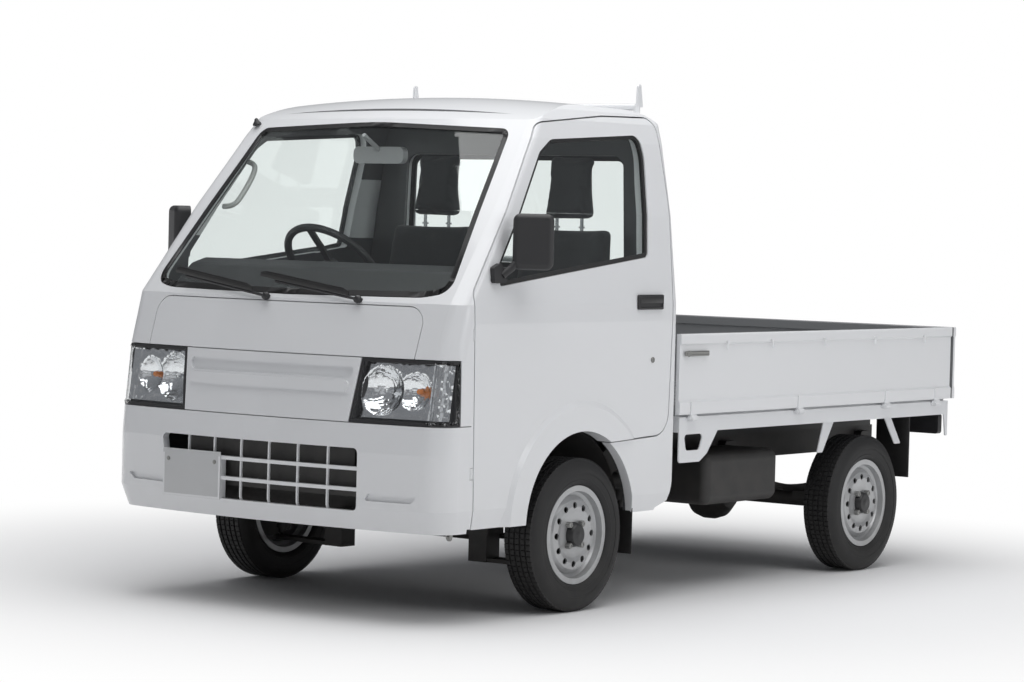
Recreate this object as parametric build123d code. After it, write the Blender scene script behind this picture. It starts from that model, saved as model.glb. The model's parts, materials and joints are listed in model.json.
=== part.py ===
from build123d import *
import math
import os

os.makedirs("parts", exist_ok=True)

# Small four-wheeled cab-over truck with a drop-side bed.
# It faces -Y, its left side is +X, and it stands on z = 0. All sizes in mm.

# Overall plan
front_end_y = -1697.5
rear_end_y = 1697.5
front_axle_y = -869.0
rear_axle_y = 1036.0
front_half_track = 652.5
rear_half_track = 645.0
body_half_width = 727.0
widest_half_width = 737.5
seam = 3.0
door_gap = 5.0
seat_gap = 0.3
running_gap = 0.05
side_names = (("left", 1.0), ("right", -1.0))


def save(shape, name):
    solids = shape.solids()
    whole = solids[0] if len(solids) == 1 else Compound(children=list(solids))
    export_step(whole, "parts/" + name + ".step")


def flip(shape, side):
    return shape if side > 0 else mirror(shape, about=Plane.YZ)


def yz_face(points, radii=0.0):
    line = FilletPolyline(*points, radius=radii, close=True) if radii else Polyline(*points, close=True)
    return make_face(Plane.YZ * line)


def xz_face(points, radii=0.0):
    line = FilletPolyline(*points, radius=radii, close=True) if radii else Polyline(*points, close=True)
    return make_face(Plane.XZ * line)


def grown(points, radii, by):
    # The same outline moved out by one distance, with its corners rounded to suit
    count = len(points)
    area = sum(points[i - 1][0] * points[i][1] - points[i][0] * points[i - 1][1] for i in range(count))
    turn = 1.0 if area > 0 else -1.0
    moved = []
    rounds = []
    for i in range(count):
        before = Vector(*points[i - 1])
        here = Vector(*points[i])
        after = Vector(*points[(i + 1) % count])
        into = (here - before).normalized()
        away = (after - here).normalized()
        normal_in = Vector(into.Y, -into.X) * turn
        normal_away = Vector(away.Y, -away.X) * turn
        bisector = normal_in + normal_away
        reach = by * 2 / bisector.dot(bisector)
        moved.append((here.X + bisector.X * reach, here.Y + bisector.Y * reach))
        convex = (into.X * away.Y - into.Y * away.X) * turn > 0
        rounds.append(max(radii[i] + (by if convex else -by), 0.5))
    return moved, rounds


def across(face, x_from, x_to):
    return Pos(x_from, 0, 0) * extrude(face, amount=x_to - x_from, dir=(1, 0, 0))


def along(face, y_from, y_to):
    return Pos(0, y_from, 0) * extrude(face, amount=y_to - y_from, dir=(0, 1, 0))


def box(x0, x1, y0, y1, z0, z1):
    centre = ((x0 + x1) / 2, (y0 + y1) / 2, (z0 + z1) / 2)
    return Pos(*centre) * Box(x1 - x0, y1 - y0, z1 - z0)


def rod(start, end, radius):
    a = Vector(*start)
    b = Vector(*end)
    place = Plane(origin=a, z_dir=(b - a))
    return place * Cylinder(radius, (b - a).length, align=(Align.CENTER, Align.CENTER, Align.MIN))


def ring(start, end, outer, inner):
    return rod(start, end, outer) - rod(start, end, inner)


# Cab skin: plan sections from the bumper's lower edge to the roof
# columns: height, front at the middle, half width, front corner radius
cab_rear_y = -306.0
front_bow = 62.0
rear_corner = 34.0
bumper_top_z = 653.0
lamp_high_z = 865.0
cab_sections = (
    (306.0, -1670.0, body_half_width - 12.0, 92.0),
    (380.0, front_end_y, body_half_width, 95.0),
    (560.0, front_end_y, body_half_width, 95.0),
    (bumper_top_z + seam / 2, -1688.0, body_half_width, 92.0),
    (lamp_high_z + seam / 2, -1655.0, body_half_width, 80.0),
    (985.0, -1618.0, body_half_width, 70.0),
    (1046.0, -1600.0, body_half_width - 2.0, 62.0),
    (1350.0, -1360.0, 692.0, 50.0),
    (1500.0, -1238.0, 665.0, 46.0),
    (1600.0, -1158.0, 647.0, 44.0),
    (1668.0, -1103.0, 629.0, 44.0),
    (1704.0, -1075.0, 608.0, 44.0),
    (1722.0, -1061.0, 582.0, 44.0),
    (1748.0, -1041.0, 530.0, 44.0),
)
roof_crown_radius = 6800.0
roof_top_z = 1750.0


def plan_section(height, front, half, corner, inset, rear_in, open_front):
    front_in = front + inset * 1.1 - open_front
    half_in = half - inset
    bow = front_bow
    nose = ThreePointArc((-half_in, front_in + bow), (0, front_in), (half_in, front_in + bow))
    flank = Line((half_in, front_in + bow), (half_in, rear_in))
    back = Line((half_in, rear_in), (-half_in, rear_in))
    other = Line((-half_in, rear_in), (-half_in, front_in + bow))
    outline = make_face([nose, flank, back, other])
    front_corners = outline.vertices().sort_by(Axis.Y)[:2]
    back_corners = outline.vertices().sort_by(Axis.Y)[2:]
    outline = fillet(front_corners, max(corner - inset, 8.0))
    back_corners = outline.vertices().sort_by(Axis.Y)[-2:]
    outline = fillet(back_corners, max(rear_corner - inset, 6.0))
    return Pos(0, 0, height) * outline


def roof_block(inset):
    drop = inset
    points = [(-1900, 100), (-1900, 1662 - drop), (-1108, 1662 - drop)]
    base = Polyline(*points)
    visor = ThreePointArc((-1108, 1662 - drop), (-960, 1720 - drop), (-700, 1748 - drop))
    top = Line((-700, 1748 - drop), (-480, 1744 - drop))
    tail = ThreePointArc((-480, 1744 - drop), (-385, 1729 - drop), (-290, 1682 - drop))
    close = Polyline((-290, 1682 - drop), (-150, 1560 - drop), (-150, 100), (-1900, 100))
    face = make_face([*base.edges(), visor, top, tail, *close.edges()])
    face = Plane.YZ * face
    axis = Axis((0, 0, roof_top_z - roof_crown_radius), (0, 1, 0))
    half = revolve(face, axis, 9)
    other = mirror(half, about=Plane.YZ)
    return half + other


def cab_form(inset, open_back=0.0, open_front=0.0):
    rear_in = cab_rear_y - inset + open_back
    faces = [plan_section(z, y, w, r, inset, rear_in, open_front) for z, y, w, r in cab_sections]
    return loft(faces, ruled=True)


def cab_solid(inset):
    return cab_form(inset) & roof_block(inset)


wall = 38.0
skin = 24.0
cab_outer = cab_solid(0.0)
cab_at_wall = cab_solid(wall)
cab_at_skin = cab_form(skin)
cab_at_carrier = cab_form(skin + seat_gap)
cab_shell = cab_outer - cab_at_wall

# Front wheel arch and its flare
arch_y = -878.0
arch_z = 298.0
arch_radius = 318.0
flare_radius = 430.0
flare_out = widest_half_width - body_half_width
arch_cut = Pos(0, arch_y, arch_z) * Rot(0, 90, 0) * Cylinder(arch_radius, 2000)
flare = Pos(body_half_width + flare_out / 2 - 6, arch_y, arch_z) * Rot(0, 90, 0) * Cone(
    flare_radius + 12, flare_radius - 26, flare_out + 12
)

# Door outline on the side, corner by corner with its radius
door_points = [
    (-1466, 317),
    (-1482, 1082),
    (-1044, 1650),
    (-660, 1686),
    (-352, 1692),
    (-336, 1400),
    (-366, 588),
    (-700, 574),
    (-878, 566),
    (-878, 317),
]
door_radii = [4, 60, 60, 200, 55, 400, 80, 4, 4, 4]
door_face = yz_face(door_points, door_radii)
door_hole_face = yz_face(*grown(door_points, door_radii, door_gap))
window_points = [
    (-1342, 1106),
    (-1346, 1174),
    (-1062, 1553),
    (-990, 1598),
    (-470, 1630),
    (-446, 1560),
    (-484, 1206),
]
window_radii = [8, 20, 60, 60, 45, 150, 20]
window_face = yz_face(window_points, window_radii)
pane_face = yz_face(*grown(window_points, window_radii, -seat_gap))
door_wall = 52.0
glass_in = 16.0
glass_thick = 5.0

door_prism = across(door_face, 380, 800)
door_hole = across(door_hole_face, 380, 800) - cab_form(door_wall + door_gap, 150.0, 200.0)
window_prism = across(window_face, 380, 800)
cab_at_door = cab_form(door_wall, 150.0, 200.0)
flared_outer = cab_outer + (flare - box(0, 690, -1500, -300, 0, 900))
door_block = (flared_outer - cab_at_door) & door_prism
door_block = door_block - window_prism - arch_cut

# Door hinges: a pin in the cab's front edge and an eye on a tongue of the door
door_axis_x = body_half_width - 4.5
door_axis_y = -1485.0
door_pin = 2.5
door_eye = 4.4
door_eye_half = 18.0
door_notch_half = 20.0
door_hinge_heights = (500.0, 950.0)
door_notches = []
door_pins = []
for height in door_hinge_heights:
    low = height - door_eye_half
    high = height + door_eye_half
    tongue = box(door_axis_x - 5.5, door_axis_x + 1, door_axis_y, -1462, low, high)
    eye = rod((door_axis_x, door_axis_y, low), (door_axis_x, door_axis_y, high), door_eye)
    bore_start = (door_axis_x, door_axis_y, low - 1)
    bore_end = (door_axis_x, door_axis_y, high + 1)
    bore = rod(bore_start, bore_end, door_pin + running_gap)
    door_block = door_block + tongue + eye - bore
    notch_low = height - door_notch_half
    notch_high = height + door_notch_half
    door_notches.append(box(door_axis_x - 11, 760, door_axis_y - 7, -1460, notch_low, notch_high))
    door_pins.append(
        rod((door_axis_x, door_axis_y, notch_low - 6), (door_axis_x, door_axis_y, notch_high + 6), door_pin)
    )

# Windscreen outline seen from the front
screen_points = [
    (-652, 1084),
    (-554, 1629),
    (0, 1651),
    (554, 1629),
    (652, 1084),
    (560, 1064),
    (0, 1058),
    (-560, 1064),
]
screen_radii = [45, 42, 2000, 42, 45, 300, 2000, 300]
screen_face = xz_face(screen_points, screen_radii)
screen_small = xz_face(*grown(screen_points, screen_radii, -seat_gap))
screen_cut = along(screen_face, -1900, -900)
glass_shell = cab_form(glass_in) - cab_form(glass_in + glass_thick)
screen_in = 6.0
windscreen = (cab_form(screen_in) - cab_form(screen_in + glass_thick)) & along(screen_small, -1900, -900)

# Rear window
back_points = [(-505, 1150), (-490, 1560), (490, 1560), (505, 1150)]
back_radii = [45, 45, 45, 45]
back_face = xz_face(back_points, back_radii)
back_cut = along(back_face, -600, -200)
back_small = xz_face(*grown(back_points, back_radii, -seat_gap))
rear_window = along(back_small, cab_rear_y - 12, cab_rear_y - 12 + glass_thick)

# Seams of the front pieces, seen from the front
lamp_low_z = bumper_top_z + seam
hood_low_z = lamp_high_z + seam
lamp_inner_low = 364.0
lamp_inner_high = 388.0
lamp_back_y = -1548.0
fender_back_y = -1488.0
hood_half_low = 584.0
hood_half_high = 588.0
below_cab_z = 100.0
front_zone = box(-900, 900, -1900, fender_back_y, below_cab_z, bumper_top_z)
front_zone_grown = box(-900, 900, -1900, fender_back_y, below_cab_z, bumper_top_z + seam)
skin_shell = cab_outer - cab_at_skin
skin_room = cab_outer - cab_at_carrier


def front_prism(points):
    return along(xz_face(points), -1900, lamp_back_y)


lamp_prism = front_prism(
    [
        (lamp_inner_low, lamp_low_z),
        (lamp_inner_high, lamp_high_z),
        (900, lamp_high_z),
        (900, lamp_low_z),
    ]
)
grille_prism = front_prism(
    [
        (-lamp_inner_low + seam, lamp_low_z),
        (-lamp_inner_high + seam, lamp_high_z),
        (lamp_inner_high - seam, lamp_high_z),
        (lamp_inner_low - seam, lamp_low_z),
    ]
)
lamp_row_room = along(
    xz_face(
        [
            (-900, lamp_low_z),
            (-900, hood_low_z),
            (900, hood_low_z),
            (900, lamp_low_z),
        ]
    ),
    -1900,
    lamp_back_y + seam,
)
hood_points = [
    (-hood_half_low, hood_low_z),
    (-hood_half_high, 1034),
    (hood_half_high, 1034),
    (hood_half_low, hood_low_z),
]
hood_radii = [2, 60, 60, 2]
hood_face = xz_face(hood_points, hood_radii)
hood_prism = along(hood_face, -1900, -1480)
hood_room = along(xz_face(*grown(hood_points, hood_radii, seam)), -1900, -1480)
lamp_deep = 84.0
lamp_rim = 14.0
lamp_back_points = [
    (lamp_inner_low + lamp_rim + 2, lamp_low_z + lamp_rim),
    (lamp_inner_high + lamp_rim - 2, lamp_high_z - lamp_rim),
    (body_half_width - 52, lamp_high_z - lamp_rim),
    (body_half_width - 52, lamp_low_z + lamp_rim),
]
lamp_back_radii = [12, 12, 20, 20]
lamp_back_prism = along(xz_face(lamp_back_points, lamp_back_radii), -1900, lamp_back_y)
lamp_back_grown = xz_face(*grown(lamp_back_points, lamp_back_radii, seat_gap))
lamp_back_room = along(lamp_back_grown, -1900, lamp_back_y + seat_gap)
headlamp = skin_shell & lamp_prism
headlamp = headlamp + ((cab_form(skin - 2.0) - cab_form(lamp_deep)) & lamp_back_prism)
grille_panel = skin_shell & grille_prism
front_panel = skin_shell & hood_prism

# Grille panel: a shallow recess over a ridge that runs nearly its full width
grille_dip_points = [(-352, 796), (-362, 834), (362, 834), (352, 796)]
grille_dip = along(xz_face(grille_dip_points, 14), -1900, -1500) - cab_form(9.0)
grille_bar_points = [(-348, 752), (-348, 788), (348, 788), (348, 752)]
grille_bar = along(xz_face(grille_bar_points, 14), -1900, -1500)
grille_bar = grille_bar & (cab_form(-7.0) - cab_form(2.0))
grille_panel = grille_panel - grille_dip + grille_bar

# Bumper with its wide opening, two bars across and six thin uprights
opening_points = [(-462, 572), (408, 572), (408, 368), (-425, 368)]
opening_face = xz_face(opening_points, 18)
bumper = skin_shell & front_zone
bumper = bumper - along(opening_face, -1900, -1500)
bar_thick = 12.0
bar_room = cab_form(5.0)
upright_room = cab_form(11.0) - cab_form(18.0)
for bar_z in (437.0, 505.0):
    bar = box(-470, 420, -1760, -1500, bar_z - bar_thick / 2, bar_z + bar_thick / 2)
    bumper = bumper + (bar & (bar_room - cab_at_skin))
upright_step = 124.0
for number in range(6):
    upright_x = -340.0 + upright_step * number
    upright = box(upright_x - 3, upright_x + 3, -1760, -1500, 361, 578)
    bumper = bumper + (upright & upright_room)

# Styling groove low in the bumper, one each side of the opening
groove_points = [(438, 404), (452, 428), (640, 428), (612, 404)]
groove = along(xz_face(groove_points, 5), -1900, -1500) - cab_form(9.0)
bumper = bumper - groove - flip(groove, -1)

# Blank plate on the truck's right half of the bumper, with its bracket bolts
plate_x = -306.0
plate_low_z = 364.0
plate_high_z = 508.0
plate_half = 130.0
plate_pitch = 210.0
plate_bolt = 3.5
plate_face_y = front_end_y + 4.0
for notch in door_notches:
    bumper = bumper - notch - flip(notch, -1)
plate_seat = box(
    plate_x - plate_half, plate_x + plate_half, plate_face_y, plate_face_y + 30, plate_low_z, plate_high_z
)
bumper = bumper + plate_seat
for end in (-1.0, 1.0):
    bolt_x = plate_x + end * plate_pitch / 2
    bolt_z = plate_high_z - 20.0
    bolt_start = (bolt_x, plate_face_y - 1, bolt_z)
    bolt_end = (bolt_x, plate_face_y + 31, bolt_z)
    bumper = bumper - rod(bolt_start, bolt_end, plate_bolt)

# Cab body: roof, pillars, rear wall, cowl, sills and the carrier behind the front skins
floor_z = 430.0
floor_under = 410.0
sill_z = 317.0
seat_deck_z = 700.0
deck_front_y = -1185.0
cab_body = cab_shell - door_hole - flip(door_hole, -1)
cab_body = cab_body - screen_cut - back_cut
cab_body = cab_body - (skin_room & front_zone_grown)
cab_body = cab_body - (skin_room & lamp_row_room)
cab_body = cab_body - (skin_room & hood_room)
cab_body = cab_body - lamp_back_room - flip(lamp_back_room, -1)
cab_body = cab_body - box(-900, 900, -1900, -200, below_cab_z, sill_z + 4)
cab_body = cab_body - arch_cut
cab_body = cab_body - along(xz_face([(-480, 590), (426, 590), (426, 350), (-443, 350)], 18), -1900, -1500)
corner_cut = yz_face([(-500, 200), (-420, 330), (-352, 352), (-312, 452), (-200, 460), (-200, 200)])
cab_body = cab_body - across(corner_cut, -900, 900)
cab_body = cab_body - box(-600, 600, -420, -200, 200, 560)
for side in (1.0, -1.0):
    for notch, pin in zip(door_notches, door_pins):
        cab_body = cab_body - flip(notch, side)
        cab_body = cab_body + flip(pin, side)
print("cab_body", len(cab_body.solids()), cab_body.volume)

save(windscreen, "windscreen")
save(rear_window, "rear_window")
save(front_panel, "front_panel")
save(grille_panel, "grille_panel")
save(bumper, "front_bumper")
save(headlamp, "headlamp_left")
save(flip(headlamp, -1), "headlamp_right")
save(door_block, "door_left")
save(flip(door_block, -1), "door_right")
door_glass = glass_shell & across(pane_face, 380, 800)
save(door_glass, "door_glass_left")
save(flip(door_glass, -1), "door_glass_right")

# Door mirrors: a foot at the window's front corner, a curved arm and a housing
# whose outer edge is swept back
mirror_wide = 134.0
mirror_deep = 58.0
mirror_high = 184.0
mirror_sweep = 36.0
mirror_centre = (789.0, -1262.0, 1254.0)
mirror_shell = Box(mirror_wide, mirror_deep, mirror_high)
mirror_shell = fillet(mirror_shell.edges().filter_by(Axis.Y), 24)
mirror_shell = fillet(mirror_shell.faces().sort_by(Axis.Y)[0].edges(), 20)
mirror_pocket = Pos(0, mirror_deep / 2, 0) * Box(mirror_wide - 16, 12, mirror_high - 16)
mirror_pocket = fillet(mirror_pocket.edges().filter_by(Axis.Y), 17)
mirror_shell = Pos(*mirror_centre) * Rot(0, 0, mirror_sweep) * (mirror_shell - mirror_pocket)
arm_low = (726.0, -1344.0, 1142.0)
arm_bend = (742.0, -1318.0, 1166.0)
arm_high = (758.0, -1296.0, 1196.0)
mirror_arm = rod(arm_low, arm_bend, 13) + rod(arm_bend, arm_high, 13)
mirror_arm = mirror_arm + Pos(*arm_bend) * Sphere(13)
mirror_plate = across(yz_face([(-1392, 1116), (-1392, 1168), (-1348, 1184), (-1322, 1120)], 10), 600, 748)
mirror_foot = (mirror_plate & (cab_form(-18.0) - cab_form(-seat_gap)))
door_mirror = mirror_shell + (mirror_arm - cab_form(-seat_gap)) + mirror_foot
save(door_mirror, "mirror_left")
save(flip(door_mirror, -1), "mirror_right")

# Cab floor: footwell, riser, seat deck, wheel housings and front mud flaps
floor_half = 654.0
floor_front_y = -1650.0
sheet = 12.0
cab_back_inner = cab_rear_y - wall
floor_back_y = cab_back_inner - seat_gap
housing_inner = 412.0
housing_wall = 6.0
toe_board = yz_face(
    [
        (floor_front_y, floor_under),
        (floor_front_y, 640),
        (floor_front_y + sheet, 640),
        (floor_front_y + sheet, 500),
        (floor_front_y + 128, floor_z),
        (deck_front_y, floor_z),
        (deck_front_y, seat_deck_z),
        (floor_back_y, seat_deck_z),
        (floor_back_y, seat_deck_z - sheet),
        (deck_front_y + sheet, seat_deck_z - sheet),
        (deck_front_y + sheet, floor_under),
    ]
)
cab_floor = across(toe_board, -floor_half, floor_half)
cab_floor = cab_floor & cab_form(wall + seat_gap)
arch_tube = Pos((housing_inner + floor_half) / 2, arch_y, arch_z) * Rot(0, 90, 0) * Cylinder(
    arch_radius + 4, floor_half - housing_inner
)
housing = Pos((housing_inner + floor_half) / 2 - housing_wall, arch_y, arch_z) * Rot(0, 90, 0) * Cylinder(
    arch_radius + 4 + housing_wall, floor_half - housing_inner + housing_wall
)
housing = housing & box(0, 900, -1300, -400, arch_z + 10, seat_deck_z)
inner_wall = box(housing_inner - housing_wall, housing_inner, -1190, -560, arch_z + 10, seat_deck_z - sheet)
inner_wall = inner_wall & (housing + box(0, 900, -1190, -560, 560, seat_deck_z))
flap_y = arch_y + arch_radius + 4
flap_half = 664.0
flap = box(540, flap_half, flap_y, flap_y + housing_wall, 182, arch_z + 60)
tower_x = 508.0
tower = rod((tower_x, front_axle_y, 560), (tower_x, front_axle_y, seat_deck_z - sheet), 92)
tower_room = rod((tower_x, front_axle_y, 500), (tower_x, front_axle_y, 664), 84)
for side in (1.0, -1.0):
    cab_floor = cab_floor + flip(housing, side) + flip(inner_wall, side)
    cab_floor = cab_floor + flip(tower, side) + flip(flap, side)
    cab_floor = cab_floor - flip(arch_tube, side) - flip(tower_room, side)
cab_floor = cab_floor - box(-300, 300, -1120, -380, 600, seat_deck_z - sheet)
save(cab_floor, "cab_floor")

# Dashboard with the steering column
dash_half = 600.0
dash_points = [
    (-1530, 1040),
    (-1470, 1078),
    (-1392, 1146),
    (-1318, 1166),
    (-1246, 1150),
    (-1226, 1096),
    (-1262, 880),
    (-1330, 816),
    (-1440, 806),
    (-1530, 870),
]
dash_radii = [8, 60, 50, 40, 24, 30, 40, 30, 20, 8]
dashboard = across(yz_face(dash_points, dash_radii), -dash_half, dash_half)
dashboard = dashboard & cab_form(wall + seat_gap)
tray = across(yz_face([(-1400, 905), (-1200, 905), (-1200, 985), (-1400, 985)], 14), 60, 560)
dashboard = dashboard - tray
driver_x = -300.0
hub_y = -985.0
hub_z = 1150.0
column_tilt = 45.0
tilt_cos = math.cos(math.radians(column_tilt))
tilt_sin = math.sin(math.radians(column_tilt))
column_dir = Vector(0, tilt_cos, tilt_sin)


def on_column(distance):
    return (driver_x, hub_y + column_dir.Y * distance, hub_z + column_dir.Z * distance)


column_bore = 12.0
column_end = -430.0
column_hole = rod(on_column(column_end - 10), on_column(0), column_bore)
shroud = rod(on_column(column_end), on_column(-60), 38) - column_hole
dashboard = dashboard - rod(on_column(column_end - 10), on_column(0), 37) + shroud
dashboard = dashboard + (rod(on_column(column_end - 60), on_column(column_end), 37.5) & cab_form(wall + 20))
save(dashboard, "dashboard")

# Steering wheel, its shaft running in the column
wheel_radius = 182.0
wheel_rim = 14.0
column_place = Plane(origin=on_column(0), x_dir=(1, 0, 0), z_dir=column_dir)
rim_circle = Pos(wheel_radius, 0, 0) * Rot(90, 0, 0) * RegularPolygon(wheel_rim, 10)
steering = column_place * revolve(rim_circle, Axis.Z)
steering = steering + rod(on_column(-36), on_column(2), 34)
steering = steering + rod(on_column(-300), on_column(-30), column_bore - running_gap)
for spoke_turn in (0.0, 180.0, 270.0):
    spoke = Pos(wheel_radius / 2, 0, -6) * Box(wheel_radius, 26, 10)
    steering = steering + column_place * Rot(0, 0, spoke_turn) * spoke
save(steering, "steering_wheel")

# Seats: one cushion and one high back each, as plain closed forms
seat_x = 300.0
seat_half = 230.0
cushion_profile = yz_face(
    [(-930, seat_deck_z), (-945, 832), (-470, 800), (-400, seat_deck_z)], [20, 45, 10, 10]
)
back_profile = yz_face(
    [(-520, 700), (-560, 820), (-432, 1385), (-392, 1560), (-358, 1560), (-352, 1385), (-390, 700)],
    [10, 10, 60, 16, 16, 60, 10],
)
seat = across(cushion_profile, seat_x - seat_half, seat_x + seat_half)
back_face_front = xz_face(
    [
        (seat_x - 225, 700),
        (seat_x - 215, 1300),
        (seat_x - 118, 1400),
        (seat_x - 108, 1575),
        (seat_x + 108, 1575),
        (seat_x + 118, 1400),
        (seat_x + 215, 1300),
        (seat_x + 225, 700),
    ],
    [20, 90, 60, 50, 50, 60, 90, 20],
)
seat_back = across(back_profile, seat_x - 300, seat_x + 300) & along(back_face_front, -900, -200)
seat = seat + seat_back
save(seat, "seat_left")
save(flip(seat, -1), "seat_right")

# Interior mirror under the windscreen's upper edge
room_mirror = Pos(-40, -1050, 1536) * Box(224, 26, 58)
room_mirror = fillet(room_mirror.edges().filter_by(Axis.Y), 22)
room_stem = rod((-40, -1050, 1550), (-40, -1160, 1612), 8)
room_mirror = room_mirror + (room_stem & cab_form(screen_in + glass_thick + seat_gap))
save(room_mirror, "room_mirror")

# Wipers, each on a spindle in the cowl
wiper_set = (
    ((-60, -1610, 1050), (-470, -1560, 1104)),
    ((330, -1598, 1052), (-40, -1586, 1100)),
)
spindle_radius = 8.0
wipers = None
for pivot, tip in wiper_set:
    pivot_x, pivot_y, pivot_z = pivot
    spindle_start = (pivot_x, pivot_y - 6, pivot_z)
    spindle = rod(spindle_start, (pivot_x, pivot_y + 28, pivot_z - 6), spindle_radius)
    arm = rod(pivot, tip, 5)
    wipers = spindle + arm if wipers is None else wipers + spindle + arm
    hole_end = (pivot_x, pivot_y + 28.3, pivot_z - 6)
    cab_body = cab_body - rod(spindle_start, hole_end, spindle_radius + seat_gap)
save(wipers, "wipers")
save(cab_body, "cab_body")

# Ladder frame
rail_x = 350.0
rail_half = 25.0
rail_outer = rail_x + rail_half
rail_inner = rail_x - rail_half
rail_low_z = 430.0
rail_high_z = 525.0
front_rail_low = 325.0
rail_profile = yz_face(
    [
        (-1560, front_rail_low),
        (-1560, floor_under - seat_gap),
        (deck_front_y + sheet + 2, floor_under - seat_gap),
        (-360, floor_under - seat_gap),
        (-210, rail_high_z),
        (1640, rail_high_z),
        (1640, rail_low_z),
        (-170, rail_low_z),
        (-330, front_rail_low),
    ]
)
rail = across(rail_profile, rail_inner, rail_outer)
rail_hollow = across(rail_profile, rail_inner - 1, rail_outer - 5)
rail = rail + flip(rail, -1)
cross_members = box(-rail_x, rail_x, -1560, -1520, front_rail_low, floor_under - 8)
cross_members = cross_members + box(-rail_x, rail_x, -1195, -1150, front_rail_low, front_rail_low + 60)
for cross_y in (-130.0, 560.0, 1240.0, 1600.0):
    cross_tube = box(-rail_x, rail_x, cross_y, cross_y + 40, rail_low_z + 30, rail_high_z - 5)
    cross_members = cross_members + cross_tube
frame = rail + cross_members
spring_x = 435.0
spring_half = 25.0
spring_reach = 500.0
spring_eye_z = 402.0
eye_outer = 20.0
eye_bore = 9.0
for side in (1.0, -1.0):
    for end in (-1.0, 1.0):
        eye_y = rear_axle_y + end * spring_reach
        hanger = across(
            yz_face(
                [
                    (eye_y - 40, rail_high_z - 20),
                    (eye_y + 40, rail_high_z - 20),
                    (eye_y + 22, spring_eye_z - 22),
                    (eye_y - 22, spring_eye_z - 22),
                ],
                10,
            ),
            rail_outer - 2,
            spring_x - spring_half - seat_gap,
        )
        pin_start = (rail_outer - 2, eye_y, spring_eye_z)
        pin_end = (spring_x + spring_half + 8, eye_y, spring_eye_z)
        hanger_pin = rod(pin_start, pin_end, eye_bore - seat_gap)
        frame = frame + flip(hanger, side) + flip(hanger_pin, side)
tow_eye = rod((280, -1580, 345), (280, -1652, 345), 9)
tow_ring = Pos(280, -1640, 333) * Rot(0, 90, 0) * (Cylinder(24, 14) - Cylinder(12, 16))
frame = frame + box(262, 298, -1600, -1555, 330, 365)
save(frame, "frame_rails")

# Bed deck: floor, side sills, cross bearers, gussets and hinge lugs
deck_z = 650.0
deck_sheet = 6.0
bed_front_y = -273.0
gate_thick = 26.0
barrel = 10.0
hinge_pin = 6.0
hinge_x = widest_half_width - barrel
gate_outer = hinge_x - 1.5
gate_inner = gate_outer - gate_thick
rear_pivot_y = rear_end_y - barrel
gate_gap = 5.0
bed_back_y = rear_pivot_y - 1.5 - gate_thick - gate_gap
bed_half = gate_inner - 6.0
sill_outer = hinge_x - barrel - 2.5
gate_low_z = 650.0
gate_high_z = 936.0
hinge_z = 636.0
deck = box(-bed_half, bed_half, bed_front_y, bed_back_y, deck_z - deck_sheet, deck_z)
for number in range(9):
    rib_x = -560.0 + 140.0 * number
    rib_low = deck_z - deck_sheet
    deck = deck + box(rib_x - 35, rib_x + 35, bed_front_y + 60, bed_back_y - 40, rib_low, deck_z + 4)
for bearer_y in (-235.0, 90.0, 420.0, 740.0, 1060.0, 1380.0, 1610.0):
    bearer = box(-bed_half + 6, bed_half - 6, bearer_y, bearer_y + 42, 590, deck_z - deck_sheet)
    bearer = bearer - box(-bed_half, bed_half, bearer_y + 4, bearer_y + 38, 580, deck_z - deck_sheet - 5)
    deck = deck + bearer
runner = box(rail_inner, rail_outer, bed_front_y + 20, bed_back_y - 30, rail_high_z, deck_z - deck_sheet)
deck = deck + runner + flip(runner, -1)
sill_profile = xz_face(
    [
        (bed_half - 14, 644),
        (bed_half - 14, 586),
        (sill_outer, 586),
        (sill_outer, 640),
        (bed_half, 640),
        (bed_half, 650),
    ]
)
sill = along(sill_profile, bed_front_y, bed_back_y)
front_gusset = across(
    yz_face(
        [(-272, 600), (-272, 478), (-140, 478), (-92, 506), (-14, 600)],
        [4, 12, 16, 12, 4],
    ),
    sill_outer - 5,
    sill_outer,
)
front_gusset = front_gusset - across(
    yz_face([(-242, 578), (-118, 578), (-142, 520), (-228, 520)], 14), 700, 760
)
rear_leg_face = yz_face([(1622, 600), (bed_back_y, 600), (bed_back_y, 500), (1640, 500)], 6)
rear_leg = across(rear_leg_face, sill_outer - 5, sill_outer)
front_stay_face = yz_face([(750, 600), (830, 600), (742, 470), (704, 470)], 4)
front_stay = across(front_stay_face, sill_outer - 30, sill_outer - 26)
rear_stay_face = yz_face([(1190, 600), (1240, 600), (1330, 480), (1284, 480)], 4)
rear_stay = across(rear_stay_face, sill_outer - 30, sill_outer - 26)
rear_flap = box(560, 716, 1330, 1336, 346, 560)
flap_bracket = box(560, 716, 1336, 1380, 552, 600)
side_frame = sill + front_gusset + rear_leg
deck = deck + side_frame + flip(side_frame, -1)
stay_front = box(sill_outer - 40, sill_outer - 26, 750, 830, 586, 640) + front_stay
stay_rear = box(sill_outer - 40, sill_outer - 26, 1190, 1240, 586, 640) + rear_stay
deck = deck + stay_front + flip(stay_front, -1) + stay_rear + flip(stay_rear, -1)
side_hinges = (-205.0, 512.0, 1150.0, 1540.0)
rear_hinges = (-560.0, 0.0, 560.0)
lug_gap = 1.0
lug_thick = 6.0
barrel_half = 18.0


def side_lugs(y):
    pin_half = barrel_half + lug_gap + lug_thick
    whole = rod((hinge_x, y - pin_half, hinge_z), (hinge_x, y + pin_half, hinge_z), hinge_pin)
    for end in (-1.0, 1.0):
        start = y + end * (barrel_half + lug_gap)
        low = min(start, start + end * lug_thick)
        whole = whole + box(sill_outer - 6, hinge_x, low, low + lug_thick, hinge_z - 8, hinge_z + 2)
        whole = whole + rod((hinge_x, low, hinge_z), (hinge_x, low + lug_thick, hinge_z), 8)
    return whole


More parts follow.
